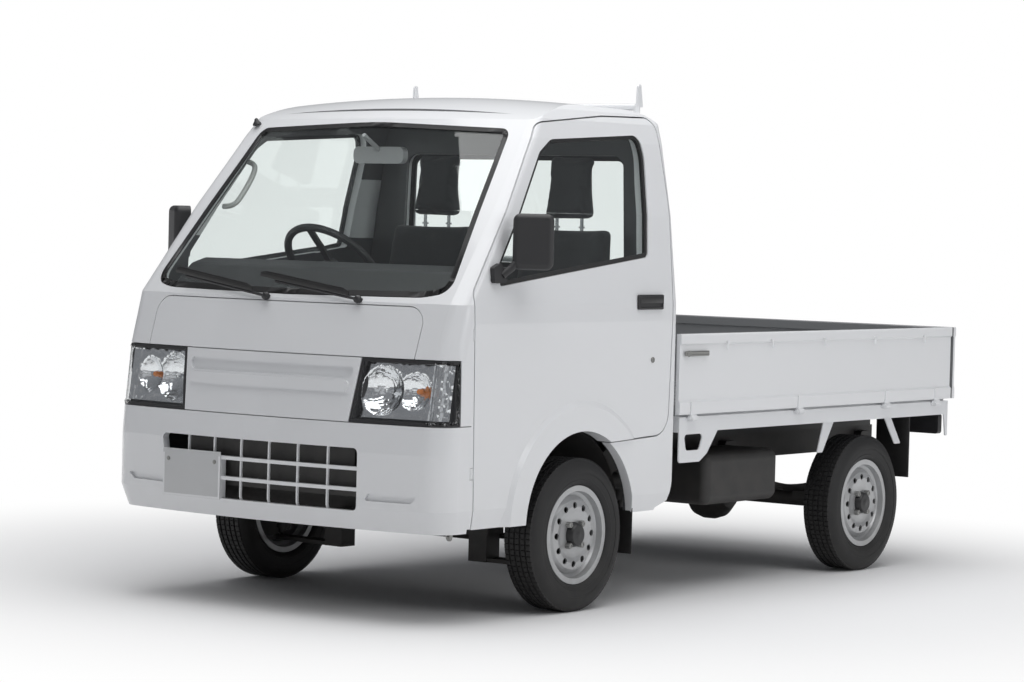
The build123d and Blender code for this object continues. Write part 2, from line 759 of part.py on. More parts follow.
for hinge_y in side_hinges:
    lugs = side_lugs(hinge_y)
    deck = deck + lugs + flip(lugs, -1)
for hinge_pos in rear_hinges:
    pin_half = barrel_half + lug_gap + lug_thick
    lug_start = (hinge_pos - pin_half, rear_pivot_y, hinge_z)
    lug_end = (hinge_pos + pin_half, rear_pivot_y, hinge_z)
    lugs = rod(lug_start, lug_end, hinge_pin)
    for end in (-1.0, 1.0):
        start = hinge_pos + end * (barrel_half + lug_gap)
        low = min(start, start + end * lug_thick)
        lugs = lugs + box(low, low + lug_thick, bed_back_y - 10, rear_pivot_y, hinge_z - 8, hinge_z + 2)
        lugs = lugs + rod((low, rear_pivot_y, hinge_z), (low + lug_thick, rear_pivot_y, hinge_z), 8)
    deck = deck + lugs
rear_sill = box(-bed_half, bed_half, bed_back_y - 14, bed_back_y, 586, 646)
deck = deck + rear_sill
for end in (-1.0, 1.0):
    bolt_x = end * plate_pitch / 2
    deck = deck - rod((bolt_x, bed_back_y - 20, 612), (bolt_x, bed_back_y + 5, 612), plate_bolt)
save(deck, "bed_deck")

# Side gates: sheet with a rolled top rail, a lower flange, ribs and rope hooks
side_gate_front = bed_front_y - 16
side_gate_back = bed_back_y
rail_deep = 34.0
crease_z = 700.0


def gate_panel(length, hooks):
    # Runs along local X, outer face towards -Y, bottom at local Z zero
    height = gate_high_z - gate_low_z
    profile = make_face(
        Plane.YZ
        * Polyline(
            (-gate_thick, 0),
            (-gate_thick, crease_z - gate_low_z - 8),
            (-gate_thick + 6, crease_z - gate_low_z),
            (-gate_thick + 6, height - rail_deep - 6),
            (-gate_thick, height - rail_deep),
            (-gate_thick, height - 4),
            (-gate_thick + 4, height),
            (-4, height),
            (0, height - 4),
            (0, height - rail_deep),
            (-6, height - rail_deep - 6),
            (-6, 40),
            (0, 32),
            (0, 0),
            close=True,
        )
    )
    panel = extrude(profile, amount=length, dir=(1, 0, 0))
    return panel


def gate_barrel(panel, position):
    strap = box(position - 16, position + 16, -gate_thick - 4, -gate_thick, 0, 46)
    low = position - barrel_half
    high = position + barrel_half
    eye_y = -gate_thick - 1.5
    eye_z = hinge_z - gate_low_z
    tongue = box(low, high, -gate_thick - 4, -gate_thick + 6, eye_z, 6)
    eye = rod((low, eye_y, eye_z), (high, eye_y, eye_z), barrel)
    bore = rod((low - 1, eye_y, eye_z), (high + 1, eye_y, eye_z), hinge_pin + running_gap)
    return panel + strap + tongue + eye - bore


def rope_hook(position):
    drop = 24.0
    hook_z = gate_high_z - gate_low_z - rail_deep
    hook_y = -gate_thick - 8
    stem = rod((position, -gate_thick + 3, hook_z + 4), (position, hook_y, hook_z + 4), 3.5)
    tip = rod((position, hook_y, hook_z + 7), (position, hook_y, hook_z - drop), 3.5)
    return stem + tip


side_length = side_gate_back - side_gate_front
side_gate = gate_panel(side_length, 5)
for hinge_y in side_hinges:
    side_gate = gate_barrel(side_gate, hinge_y - side_gate_front)
for hook_y in (0.0, 300.0, 670.0, 1040.0, 1420.0):
    side_gate = side_gate + rope_hook(hook_y - side_gate_front)
side_gate_place = Plane(origin=(gate_inner, side_gate_front, gate_low_z), x_dir=(0, 1, 0), z_dir=(0, 0, 1))
gate_left = side_gate_place * side_gate
save(gate_left, "gate_left")
save(flip(gate_left, -1), "gate_right")
rear_length = 2 * gate_outer
rear_gate = gate_panel(rear_length, 3)
for hinge_pos in rear_hinges:
    rear_gate = gate_barrel(rear_gate, gate_outer + hinge_pos)
for hook_pos in (-420.0, 420.0):
    rear_gate = rear_gate + rope_hook(gate_outer + hook_pos)
rear_gate_corner = (gate_outer, bed_back_y + gate_gap, gate_low_z)
rear_gate_place = Plane(origin=rear_gate_corner, x_dir=(-1, 0, 0), z_dir=(0, 0, 1))
gate_rear = rear_gate_place * rear_gate
save(gate_rear, "gate_rear")

# Headboard and guard frame with its two load hooks
guard_back_y = bed_front_y - seat_gap
guard_front_y = bed_front_y - 27
post_x = 505.0
post_half = 15.0
guard_top_z = 1742.0
headboard = box(-690, 690, guard_front_y, guard_back_y, deck_z, gate_high_z - 4)
headboard = headboard - box(-640, 640, guard_front_y - 1, guard_front_y + 18, deck_z + 50, gate_high_z - 50)
guard = headboard
guard_y = (guard_front_y + guard_back_y) / 2
guard_rail_z = guard_top_z - 6
fin_face = yz_face([(-296, 1736), (-292, 1812), (-276, 1822), (-262, 1736)], [4, 10, 8, 4])
for side in (1.0, -1.0):
    post = rod((post_x, guard_y, gate_high_z - 10), (post_x, guard_y, guard_top_z), 12)
    fin = across(fin_face, post_x + 2, post_x + 10)
    guard = guard + flip(post, side) + flip(fin, side)
guard = guard + rod((-post_x, guard_y, guard_rail_z), (post_x, guard_y, guard_rail_z), 12)
guard = guard + rod((-post_x, guard_y, 1180), (post_x, guard_y, 1180), 11)
save(guard, "guard_frame")

# Engine, gearbox and propeller shaft as one plain block
engine = box(-185, 185, -1080, -500, 318, 596)
engine = fillet(engine.edges().filter_by(Axis.Y), 30)
engine_mount = box(-rail_inner + seat_gap, rail_inner - seat_gap, -820, -770, 340, 380)
gearbox = loft(
    [
        Plane(origin=(0, -502, 400), z_dir=(0, 1, 0)) * Circle(120),
        Plane(origin=(0, -180, 392), z_dir=(0, 1, 0)) * Circle(70),
    ]
)
diff_y = rear_axle_y
prop_end = (0, diff_y - 115.5, 280)
prop = rod((0, -185, 392), prop_end, 32)
powertrain = engine + engine_mount + gearbox + prop
save(powertrain, "powertrain")

# Fuel tank behind the cab on the left, strapped to the frame rail
tank = Pos(530, 245, 400) * Box(250, 490, 190)
tank = fillet(tank.edges(), 34)
tank_arm = box(rail_outer + seat_gap, 430, 200, 240, 440, 480)
tank_arm = tank_arm + box(rail_outer + seat_gap, 430, 420, 460, 440, 480)
tank = tank + tank_arm
save(tank, "fuel_tank")

# Exhaust on the right
pipe_x = -540.0
muffler = rod((pipe_x + 0, 120, 372), (pipe_x + 0, 560, 372), 64)
pipe = rod((pipe_x, 560, 390), (pipe_x, 1600, 390), 18)
inlet = rod((pipe_x, 130, 380), (-170, -420, 380), 18)
exhaust = muffler + pipe + inlet
exhaust = exhaust - box(-200, 0, -700, -180, 200, 600)
exhaust = exhaust + box(pipe_x - 12, pipe_x + 12, 1386, 1416, 400, 590 - seat_gap)
exhaust = exhaust + box(pipe_x - 12, pipe_x + 12, 440, 470, 430, 590 - seat_gap)
save(exhaust, "exhaust")

# Rear axle with its differential, leaf springs and spring seats
hub_height = 262.0
axle_tube = 32.0
rear_hub_x = rear_half_track + 38.0
tube_end = rear_hub_x - 60
rear_axle = rod((-tube_end, rear_axle_y, hub_height), (tube_end, rear_axle_y, hub_height), axle_tube)
bowl_half = [(20, 114), (52, 104), (88, 66), (95, 30), (95, 0)]
bowl_line = [(-x, radius) for x, radius in reversed(bowl_half)] + bowl_half
bowl = Pos(0, rear_axle_y, hub_height) * revolve(make_face(Polyline(*bowl_line, close=True)), Axis.X)
rear_axle = rear_axle + bowl
drum = rod((rear_hub_x - 62, rear_axle_y, hub_height), (rear_hub_x - 4, rear_axle_y, hub_height), 112)
spigot_radius = 30.0 - running_gap
spigot_end = (rear_hub_x + 14, rear_axle_y, hub_height)
spigot = rod((rear_hub_x - 6, rear_axle_y, hub_height), spigot_end, spigot_radius)
leaf_arc = ThreePointArc(
    (rear_axle_y - spring_reach, spring_eye_z),
    (rear_axle_y, 308),
    (rear_axle_y + spring_reach, spring_eye_z),
)
leaf_up = ThreePointArc(
    (rear_axle_y + spring_reach, spring_eye_z + 8),
    (rear_axle_y, 316),
    (rear_axle_y - spring_reach, spring_eye_z + 8),
)
leaf_face = Plane.YZ * make_face(
    [
        leaf_arc,
        Line((rear_axle_y + spring_reach, spring_eye_z), (rear_axle_y + spring_reach, spring_eye_z + 8)),
        leaf_up,
        Line((rear_axle_y - spring_reach, spring_eye_z + 8), (rear_axle_y - spring_reach, spring_eye_z)),
    ]
)
leaf = across(leaf_face, spring_x - spring_half, spring_x + spring_half)
helper = leaf & box(0, 900, rear_axle_y - 340, rear_axle_y + 340, 0, 600)
short_leaf = helper & box(0, 900, rear_axle_y - 200, rear_axle_y + 200, 0, 600)
leaf = leaf + Pos(0, 0, -8) * helper + Pos(0, 0, -16) * short_leaf
for end in (-1.0, 1.0):
    eye_y = rear_axle_y + end * spring_reach
    eye_start = (spring_x - spring_half, eye_y, spring_eye_z)
    eye_end = (spring_x + spring_half, eye_y, spring_eye_z)
    leaf = leaf + rod(eye_start, eye_end, eye_outer)
    leaf = leaf - rod((spring_x - 60, eye_y, spring_eye_z), (spring_x + 60, eye_y, spring_eye_z), eye_bore)
pad = box(spring_x - 30, spring_x + 30, rear_axle_y - 45, rear_axle_y + 45, hub_height, 300)
half_axle = leaf + pad + drum + spigot
rear_axle = rear_axle + half_axle + flip(half_axle, -1)
save(rear_axle, "rear_axle")

# Front suspension: cross beam, steering rack housing and lower arms
ball_x = 612.0
ball_z = 176.0
strut_top_x = 508.0
strut_top_z = 664.0
king_dir = Vector(strut_top_x - ball_x, 0, strut_top_z - ball_z).normalized()


def on_king(z):
    share = (z - ball_z) / king_dir.Z
    return (ball_x + king_dir.X * share, front_axle_y, z)


rack_y = front_axle_y + 64.0
rack_z = 226.0
rack_bore = 11.0
tie_x = 547.0
beam = box(-rail_outer, rail_outer, front_axle_y - 60, front_axle_y + 30, 236, 290)
beam_top = front_rail_low - seat_gap
beam_horn = box(rail_inner, rail_outer, front_axle_y - 60, front_axle_y + 30, 280, beam_top)
beam = beam + beam_horn + flip(beam_horn, -1)
housing_tube = ring((-300, rack_y, rack_z), (300, rack_y, rack_z), 24, rack_bore)
rack_legs = box(-260, -220, front_axle_y, rack_y, 236, 262) + box(220, 260, front_axle_y, rack_y, 236, 262)
rack_legs = rack_legs - rod((-400, rack_y, rack_z), (400, rack_y, rack_z), 20)
arm_face = make_face(
    Plane.XY.offset(ball_z - 34)
    * FilletPolyline(
        (rail_inner - 40, front_axle_y - 55),
        (ball_x + 22, front_axle_y - 24),
        (ball_x + 22, front_axle_y + 24),
        (rail_inner - 40, front_axle_y + 25),
        radius=[10, 22, 22, 10],
        close=True,
    )
)
lower_arm = extrude(arm_face, amount=14, dir=(0, 0, 1))
arm_riser = box(rail_inner - 38, rail_outer - 10, front_axle_y - 52, front_axle_y + 22, ball_z - 34, 240)
ball_stud = rod((ball_x, front_axle_y, ball_z - 24), (ball_x, front_axle_y, ball_z - 16 - seat_gap), 12)
suspension = beam + housing_tube + rack_legs
for side in (1.0, -1.0):
    suspension = suspension + flip(lower_arm, side) + flip(arm_riser, side) + flip(ball_stud, side)
save(suspension, "front_suspension")

# Knuckles: upright, brake disc, steering arm and strut on the steering axis
front_hub_x = front_half_track + 38.0
upright = rod(on_king(ball_z + 8), on_king(300), 26)
upright = upright + rod(on_king(290), on_king(560), 25)
upright = upright + rod(on_king(555), on_king(650), 11) + Pos(*on_king(649.4)) * Sphere(14)
upright = upright + Pos(*on_king(ball_z)) * Sphere(16)
spring_cup = rod(on_king(548), on_king(556), 54)
coil = ring(on_king(555), on_king(645), 52, 42)
stub = rod((590, front_axle_y, hub_height), (front_hub_x - 4, front_axle_y, hub_height), 34)
disc = rod((front_hub_x - 22, front_axle_y, hub_height), (front_hub_x - 10, front_axle_y, hub_height), 112)
hub_face = rod((front_hub_x - 12, front_axle_y, hub_height), (front_hub_x - 1, front_axle_y, hub_height), 66)
front_spigot_end = (front_hub_x + 14, front_axle_y, hub_height)
front_spigot = rod((front_hub_x - 3, front_axle_y, hub_height), front_spigot_end, spigot_radius)
caliper = box(
    front_hub_x - 62,
    front_hub_x - 14,
    front_axle_y - 110,
    front_axle_y - 66,
    hub_height - 36,
    hub_height + 36,
)
caliper_arm = box(600, front_hub_x - 40, front_axle_y - 100, front_axle_y, hub_height - 20, hub_height + 20)
steer_arm_low = rack_z + 22.0
steer_arm_plan = Polyline(
    (tie_x - 14, rack_y - 12),
    (tie_x - 14, rack_y + 14),
    (tie_x + 14, rack_y + 14),
    (608, front_axle_y + 20),
    (608, front_axle_y - 10),
    (580, front_axle_y - 10),
    close=True,
)
steer_arm = extrude(Pos(0, 0, steer_arm_low) * make_face(steer_arm_plan), amount=12, dir=(0, 0, 1))
knuckle = upright + spring_cup + coil + stub + disc + hub_face
knuckle = knuckle + front_spigot + caliper + caliper_arm + steer_arm
save(knuckle, "knuckle_left")
save(flip(knuckle, -1), "knuckle_right")

# Steering rack and its tie rods
rack = rod((-tie_x + 16, rack_y, rack_z), (tie_x - 16, rack_y, rack_z), rack_bore - running_gap)
tie_end = rod((tie_x - 20, rack_y, rack_z), (tie_x, rack_y, rack_z), 6)
tie_end = tie_end + rod((tie_x, rack_y, rack_z - 8), (tie_x, rack_y, rack_z + 8), 15)
rack = rack + tie_end + flip(tie_end, -1)
save(rack, "steering_rack")

# Road wheels: rim with a dished disc, and the tyre
tyre_radius = hub_height
bead_radius = 153.0
flange_radius = 168.0
flange_at = 56.0
rim_sheet = 4.0
tyre_half = 71.0
hub_offset = 38.0
rim_line = [
    (-flange_at, flange_radius),
    (-flange_at + 5, flange_radius),
    (-flange_at + 5, bead_radius),
    (-30, bead_radius - 3),
    (-22, 136),
    (22, 136),
    (32, bead_radius - 3),
    (flange_at - 5, bead_radius),
    (flange_at - 5, flange_radius),
    (flange_at, flange_radius),
    (flange_at, bead_radius - 4),
    (35, bead_radius - 8),
    (26, 131),
    (-26, 131),
    (-34, bead_radius - 8),
    (-flange_at, bead_radius - 4),
]
rim_barrel = revolve(make_face(Polyline(*rim_line, close=True)), Axis.X)
disc_line = [
    (16, 133),
    (30, 133),
    (44, 118),
    (48, 96),
    (44, 78),
    (hub_offset + 5, 66),
    (hub_offset + 5, 30),
    (hub_offset, 30),
    (hub_offset, 68),
    (38, 80),
    (42, 96),
    (38, 114),
    (26, 126),
    (16, 126),
]
rim_disc = revolve(make_face(Polyline(*disc_line, close=True)), Axis.X)
rim = rim_barrel + rim_disc
hole_circle = 100.0
for number in range(12):
    turn = 360.0 / 12 * number
    rim = rim - Rot(turn, 0, 0) * (Pos(40, 0, hole_circle) * Rot(0, 90, 0) * Cylinder(11, 60))
for number in range(4):
    turn = 90.0 * number + 45.0
    nut = Pos(hub_offset + 4, 0, 50) * Rot(0, 90, 0) * extrude(RegularPolygon(10, 6), amount=16)
    rim = rim + Rot(turn, 0, 0) * nut
from_below = (Align.CENTER, Align.CENTER, Align.MIN)
cap = Pos(hub_offset + 3, 0, 0) * Rot(0, 90, 0) * Cone(40, 34, 22, align=from_below)
cap = cap - Pos(hub_offset - 4, 0, 0) * Rot(0, 90, 0) * Cylinder(30, 20, align=from_below)
rim = rim + cap
bead_x = flange_at - 5.0 - seat_gap
bead_low = bead_radius + seat_gap
inner_x = 41.0
tyre_line = [
    (-inner_x, bead_low),
    (-bead_x, bead_low),
    (-bead_x, flange_radius + 1),
    (-62, flange_radius + 8),
    (-70, 196),
    (-tyre_half, 212),
    (-68, 232),
    (-60, tyre_radius - 9),
    (-50, tyre_radius - 2),
    (-26, tyre_radius),
    (26, tyre_radius),
    (50, tyre_radius - 2),
    (60, tyre_radius - 9),
    (68, 232),
    (tyre_half, 212),
    (70, 196),
    (62, flange_radius + 8),
    (bead_x, flange_radius + 1),
    (bead_x, bead_low),
    (inner_x, bead_low),
    (inner_x, flange_radius + 6),
    (58, 206),
    (52, tyre_radius - 19),
    (-52, tyre_radius - 19),
    (-58, 206),
    (-inner_x, flange_radius + 6),
]
tyre = revolve(make_face(Polyline(*tyre_line, close=True)), Axis.X)
for name, x, y in (
    ("front_left", front_half_track, front_axle_y),
    ("front_right", -front_half_track, front_axle_y),
    ("rear_left", rear_half_track, rear_axle_y),
    ("rear_right", -rear_half_track, rear_axle_y),
):
    turned = Rot(0, 0, 0) if x > 0 else Rot(0, 0, 180)
    save(Pos(x, y, hub_height) * turned * rim, "rim_" + name)
    save(Pos(x, y, hub_height) * turned * tyre, "tyre_" + name)

# Tail lamps under the bed's rear corners
tail_lamp = Pos(590, bed_back_y - 16, 586 - seat_gap - 40) * Box(200, 30, 80)
tail_lamp = fillet(tail_lamp.edges().filter_by(Axis.Y), 12)
save(tail_lamp, "tail_lamp_left")
save(flip(tail_lamp, -1), "tail_lamp_right")
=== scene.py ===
import json
import math

import bpy
from mathutils import Matrix, Vector

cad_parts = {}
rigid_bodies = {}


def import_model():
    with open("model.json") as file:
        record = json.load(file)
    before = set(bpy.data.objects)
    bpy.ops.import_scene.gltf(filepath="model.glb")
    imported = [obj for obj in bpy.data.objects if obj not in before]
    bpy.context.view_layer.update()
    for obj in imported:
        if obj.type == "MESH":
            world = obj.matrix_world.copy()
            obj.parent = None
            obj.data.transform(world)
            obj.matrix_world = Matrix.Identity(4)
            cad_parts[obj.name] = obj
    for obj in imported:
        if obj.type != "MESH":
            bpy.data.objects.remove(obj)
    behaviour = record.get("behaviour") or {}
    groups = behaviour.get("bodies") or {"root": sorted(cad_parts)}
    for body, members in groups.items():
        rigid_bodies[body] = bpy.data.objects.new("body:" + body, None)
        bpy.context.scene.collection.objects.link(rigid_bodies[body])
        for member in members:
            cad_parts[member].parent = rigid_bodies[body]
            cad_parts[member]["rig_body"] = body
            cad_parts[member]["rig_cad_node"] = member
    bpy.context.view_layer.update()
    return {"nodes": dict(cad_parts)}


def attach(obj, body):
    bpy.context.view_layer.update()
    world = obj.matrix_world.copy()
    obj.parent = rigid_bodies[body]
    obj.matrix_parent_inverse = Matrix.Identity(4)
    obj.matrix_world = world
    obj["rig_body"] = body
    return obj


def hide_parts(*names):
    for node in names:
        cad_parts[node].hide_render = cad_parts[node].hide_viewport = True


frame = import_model()
scene = bpy.context.scene
nodes = frame["nodes"]

# Studio: a plain pale floor under even soft light, and the camera where the
# photographer stood, a long lens on the truck's left front corner. Nothing
# here is part of the truck.
floor_size = 80.0


def clear_selection():
    if bpy.context.object is not None and bpy.context.object.mode != "OBJECT":
        bpy.ops.object.mode_set(mode="OBJECT")
    bpy.ops.object.select_all(action="DESELECT")


def new_material(name, color, roughness, metallic=0.0):
    material = bpy.data.materials.new(name)
    material.use_nodes = True
    shader = material.node_tree.nodes["Principled BSDF"]
    shader.inputs["Base Color"].default_value = (*color, 1.0)
    shader.inputs["Roughness"].default_value = roughness
    shader.inputs["Metallic"].default_value = metallic
    return material, material.node_tree, shader


clear_selection()
bpy.ops.mesh.primitive_plane_add(size=floor_size, location=(0, 0, 0))
studio_floor = bpy.context.object
studio_floor.name = "studio_floor"
floor_paper, tree, shader = new_material("floor_paper", (0.86, 0.86, 0.865), 0.7)
grain = tree.nodes.new("ShaderNodeTexNoise")
grain.inputs["Scale"].default_value = 900.0
paper_bump = tree.nodes.new("ShaderNodeBump")
paper_bump.inputs["Strength"].default_value = 0.02
where = tree.nodes.new("ShaderNodeTexCoord")
tree.links.new(where.outputs["Object"], grain.inputs["Vector"])
tree.links.new(grain.outputs["Fac"], paper_bump.inputs["Height"])
tree.links.new(paper_bump.outputs["Normal"], shader.inputs["Normal"])
far_white = tree.nodes.new("ShaderNodeEmission")
far_white.inputs["Color"].default_value = (1.0, 1.0, 1.0, 1.0)
floor_reach = tree.nodes.new("ShaderNodeVectorMath")
floor_reach.operation = "LENGTH"
floor_fade = tree.nodes.new("ShaderNodeMapRange")
floor_fade.interpolation_type = "SMOOTHSTEP"
floor_fade.inputs["From Min"].default_value = 1.1
floor_fade.inputs["From Max"].default_value = 3.4
floor_blend = tree.nodes.new("ShaderNodeMixShader")
tree.links.new(where.outputs["Object"], floor_reach.inputs[0])
tree.links.new(floor_reach.outputs["Value"], floor_fade.inputs["Value"])
floor_path = tree.nodes.new("ShaderNodeLightPath")
floor_direct = tree.nodes.new("ShaderNodeMath")
floor_direct.operation = "SUBTRACT"
floor_direct.inputs[0].default_value = 1.0
floor_glow = tree.nodes.new("ShaderNodeMath")
floor_glow.operation = "MULTIPLY"
tree.links.new(floor_path.outputs["Is Diffuse Ray"], floor_direct.inputs[1])
tree.links.new(floor_direct.outputs[0], floor_glow.inputs[0])
tree.links.new(floor_fade.outputs["Result"], floor_glow.inputs[1])
tree.links.new(floor_glow.outputs[0], floor_blend.inputs["Fac"])
tree.links.new(shader.outputs["BSDF"], floor_blend.inputs[1])
tree.links.new(far_white.outputs["Emission"], floor_blend.inputs[2])
tree.links.new(floor_blend.outputs["Shader"], tree.nodes["Material Output"].inputs["Surface"])
studio_floor.data.materials.append(floor_paper)

world = bpy.data.worlds.new("studio_air")
world.use_nodes = True
air = world.node_tree.nodes["Background"]
air.inputs["Color"].default_value = (0.93, 0.95, 1.0, 1.0)
air.inputs["Strength"].default_value = 0.20
backdrop = world.node_tree.nodes.new("ShaderNodeBackground")
backdrop.inputs["Color"].default_value = (1.0, 1.0, 1.0, 1.0)
seen_by = world.node_tree.nodes.new("ShaderNodeLightPath")
air_mix = world.node_tree.nodes.new("ShaderNodeMixShader")
# The backdrop is white to the camera, through glass too, and dim as a light
bounces = world.node_tree.nodes.new("ShaderNodeMath")
bounces.operation = "ADD"
world.node_tree.links.new(seen_by.outputs["Diffuse Depth"], bounces.inputs[0])
world.node_tree.links.new(seen_by.outputs["Glossy Depth"], bounces.inputs[1])
straight = world.node_tree.nodes.new("ShaderNodeMath")
straight.operation = "LESS_THAN"
straight.inputs[1].default_value = 0.5
world.node_tree.links.new(bounces.outputs[0], straight.inputs[0])
world.node_tree.links.new(straight.outputs[0], air_mix.inputs["Fac"])
world.node_tree.links.new(air.outputs["Background"], air_mix.inputs[1])
world.node_tree.links.new(backdrop.outputs["Background"], air_mix.inputs[2])
world_out = world.node_tree.nodes["World Output"]
world.node_tree.links.new(air_mix.outputs["Shader"], world_out.inputs["Surface"])
scene.world = world
scene.view_settings.view_transform = "Standard"


def soft_box(name, place, aim, size, power, tint=(1.0, 1.0, 1.0)):
    lamp = bpy.data.lights.new(name, "AREA")
    lamp.shape = "RECTANGLE"
    lamp.size, lamp.size_y = size
    lamp.energy = power
    lamp.color = tint
    holder = bpy.data.objects.new(name, lamp)
    scene.collection.objects.link(holder)
    holder.location = place
    holder.rotation_euler = (Vector(aim) - Vector(place)).to_track_quat("-Z", "Y").to_euler()
    return holder


soft_box("overhead_bank", (0.5, -0.6, 5.2), (0, 0, 0.8), (5.5, 7.0), 290.0)
soft_box("front_bank", (3.0, -7.5, 2.6), (0, -1.0, 0.8), (4.5, 2.6), 10.0)
soft_box("side_bank", (7.0, 1.0, 3.0), (0.4, 0.2, 0.7), (4.0, 2.4), 82.0)

camera_data = bpy.data.cameras.new("photographer")
camera_data.sensor_width = 36.0
camera_data.lens = 110.245
camera_data.clip_end = 200.0
camera = bpy.data.objects.new("photographer", camera_data)
scene.collection.objects.link(camera)
yaw, dip, lean = math.radians(37.066), math.radians(2.217), math.radians(1.424)
look = Vector((-math.sin(yaw) * math.cos(dip), math.cos(yaw) * math.cos(dip), -math.sin(dip)))
level_right = Vector((math.cos(yaw), math.sin(yaw), 0.0))
level_up = level_right.cross(look)
camera_right = math.cos(lean) * level_right + math.sin(lean) * level_up
camera_up = -math.sin(lean) * level_right + math.cos(lean) * level_up
camera.matrix_world = Matrix((
    (camera_right.x, camera_up.x, -look.x, 6.9132),
    (camera_right.y, camera_up.y, -look.y, -9.4726),
    (camera_right.z, camera_up.z, -look.z, 1.3251),
    (0, 0, 0, 1),
))
scene.camera = camera

# Painted sheet metal: pressed steel panels in plain white enamel with a clear
# top coat, a faint orange peel in the gloss and a little road dust low down.
painted_nodes = (
    "cab_body", "front_panel", "grille_panel", "front_bumper", "door_left", "door_right",
    "bed_deck", "gate_left", "gate_right", "gate_rear", "guard_frame",
)


def new_group(name, inputs, outputs):
    group = bpy.data.node_groups.new(name, "ShaderNodeTree")
    for label, kind, value in inputs:
        socket = group.interface.new_socket(name=label, in_out="INPUT", socket_type=kind)
        if value is not None:
            socket.default_value = value
    for label, kind in outputs:
        group.interface.new_socket(name=label, in_out="OUTPUT", socket_type=kind)
    return group, group.nodes.new("NodeGroupInput"), group.nodes.new("NodeGroupOutput")


# Road dust fades out with height, in noisy patches
dust_group, dust_in, dust_out = new_group(
    "road_dust",
    (
        ("Amount", "NodeSocketFloat", 0.3),
        ("Height", "NodeSocketFloat", 0.7),
        ("Scale", "NodeSocketFloat", 9.0),
    ),
    (("Mask", "NodeSocketFloat"),),
)
dust_where = dust_group.nodes.new("ShaderNodeTexCoord")
dust_split = dust_group.nodes.new("ShaderNodeSeparateXYZ")
dust_fall = dust_group.nodes.new("ShaderNodeMapRange")
dust_cloud = dust_group.nodes.new("ShaderNodeTexNoise")
dust_cloud.inputs["Detail"].default_value = 6.0
dust_mix = dust_group.nodes.new("ShaderNodeMath")
dust_mix.operation = "MULTIPLY"
dust_scale = dust_group.nodes.new("ShaderNodeMath")
dust_scale.operation = "MULTIPLY"
dust_fall.inputs["To Min"].default_value = 1.0
dust_fall.inputs["To Max"].default_value = 0.0
for start, end in (
    (dust_where.outputs["Object"], dust_split.inputs[0]),
    (dust_where.outputs["Object"], dust_cloud.inputs["Vector"]),
    (dust_in.outputs["Scale"], dust_cloud.inputs["Scale"]),
    (dust_split.outputs["Z"], dust_fall.inputs["Value"]),
    (dust_in.outputs["Height"], dust_fall.inputs["From Max"]),
    (dust_fall.outputs["Result"], dust_mix.inputs[0]),
    (dust_cloud.outputs["Fac"], dust_mix.inputs[1]),
    (dust_mix.outputs[0], dust_scale.inputs[0]),
    (dust_in.outputs["Amount"], dust_scale.inputs[1]),
    (dust_scale.outputs[0], dust_out.inputs["Mask"]),
):
    dust_group.links.new(start, end)


def add_dust(tree, shader, clean, dusty, amount, height, scale=9.0):
    dust = tree.nodes.new("ShaderNodeGroup")
    dust.node_tree = dust_group
    dust.inputs["Amount"].default_value = amount
    dust.inputs["Height"].default_value = height
    dust.inputs["Scale"].default_value = scale
    blend = tree.nodes.new("ShaderNodeMix")
    blend.data_type = "RGBA"
    blend.inputs["A"].default_value = (*clean, 1.0)
    blend.inputs["B"].default_value = (*dusty, 1.0)
    tree.links.new(dust.outputs["Mask"], blend.inputs["Factor"])
    tree.links.new(blend.outputs["Result"], shader.inputs["Base Color"])
    return dust


def add_grain(tree, shader, scale, strength, detail=3.0, distance=0.001):
    where = tree.nodes.new("ShaderNodeTexCoord")
    noise = tree.nodes.new("ShaderNodeTexNoise")
    noise.inputs["Scale"].default_value = scale
    noise.inputs["Detail"].default_value = detail
    bump = tree.nodes.new("ShaderNodeBump")
    bump.inputs["Strength"].default_value = strength
    bump.inputs["Distance"].default_value = distance
    tree.links.new(where.outputs["Object"], noise.inputs["Vector"])
    tree.links.new(noise.outputs["Fac"], bump.inputs["Height"])
    tree.links.new(bump.outputs["Normal"], shader.inputs["Normal"])
    return noise


# What lies inside the cab's inner skin is painted shade, near black: a mask by height and width
inside_group, inside_in, inside_out = new_group(
    "inside_cab_shade", (("Depth", "NodeSocketFloat", 0.035),), (("Mask", "NodeSocketFloat"),)
)
belt_z, belt_half, side_lean, screen_lean = 1.046, 0.727, 0.1444, 0.795
screen_foot, bow_share, rear_wall, roof_inner, roof_share = -1.556, 0.1173, -0.332, 1.700, 0.0735


def place_math(operation, first, second):
    node = inside_group.nodes.new("ShaderNodeMath")
    node.operation = operation
    for socket, value in zip(node.inputs, (first, second)):
        if isinstance(value, (int, float)):
            socket.default_value = value
        elif value is not None:
            inside_group.links.new(value, socket)
    return node.outputs[0]


inside_where = inside_group.nodes.new("ShaderNodeTexCoord")
inside_split = inside_group.nodes.new("ShaderNodeSeparateXYZ")
inside_group.links.new(inside_where.outputs["Object"], inside_split.inputs[0])
at_x, at_y, at_z = inside_split.outputs
wide = place_math("ABSOLUTE", at_x, None)
above_belt = place_math("SUBTRACT", at_z, belt_z)
above_belt = place_math("MAXIMUM", above_belt, 0.0)
lean_in = place_math("MULTIPLY", above_belt, side_lean)
half_in = place_math("SUBTRACT", belt_half, inside_in.outputs["Depth"])
half_in = place_math("SUBTRACT", half_in, lean_in)
square = place_math("MULTIPLY", at_x, at_x)
screen_y = place_math("ADD", place_math("MULTIPLY", above_belt, screen_lean), screen_foot)
screen_y = place_math("ADD", screen_y, place_math("MULTIPLY", square, bow_share))
roof_z = place_math("SUBTRACT", roof_inner, place_math("MULTIPLY", square, roof_share))
masks = (
    place_math("LESS_THAN", wide, half_in),
    place_math("GREATER_THAN", at_y, screen_y),
    place_math("LESS_THAN", at_y, rear_wall),
    place_math("LESS_THAN", at_z, roof_z),
)
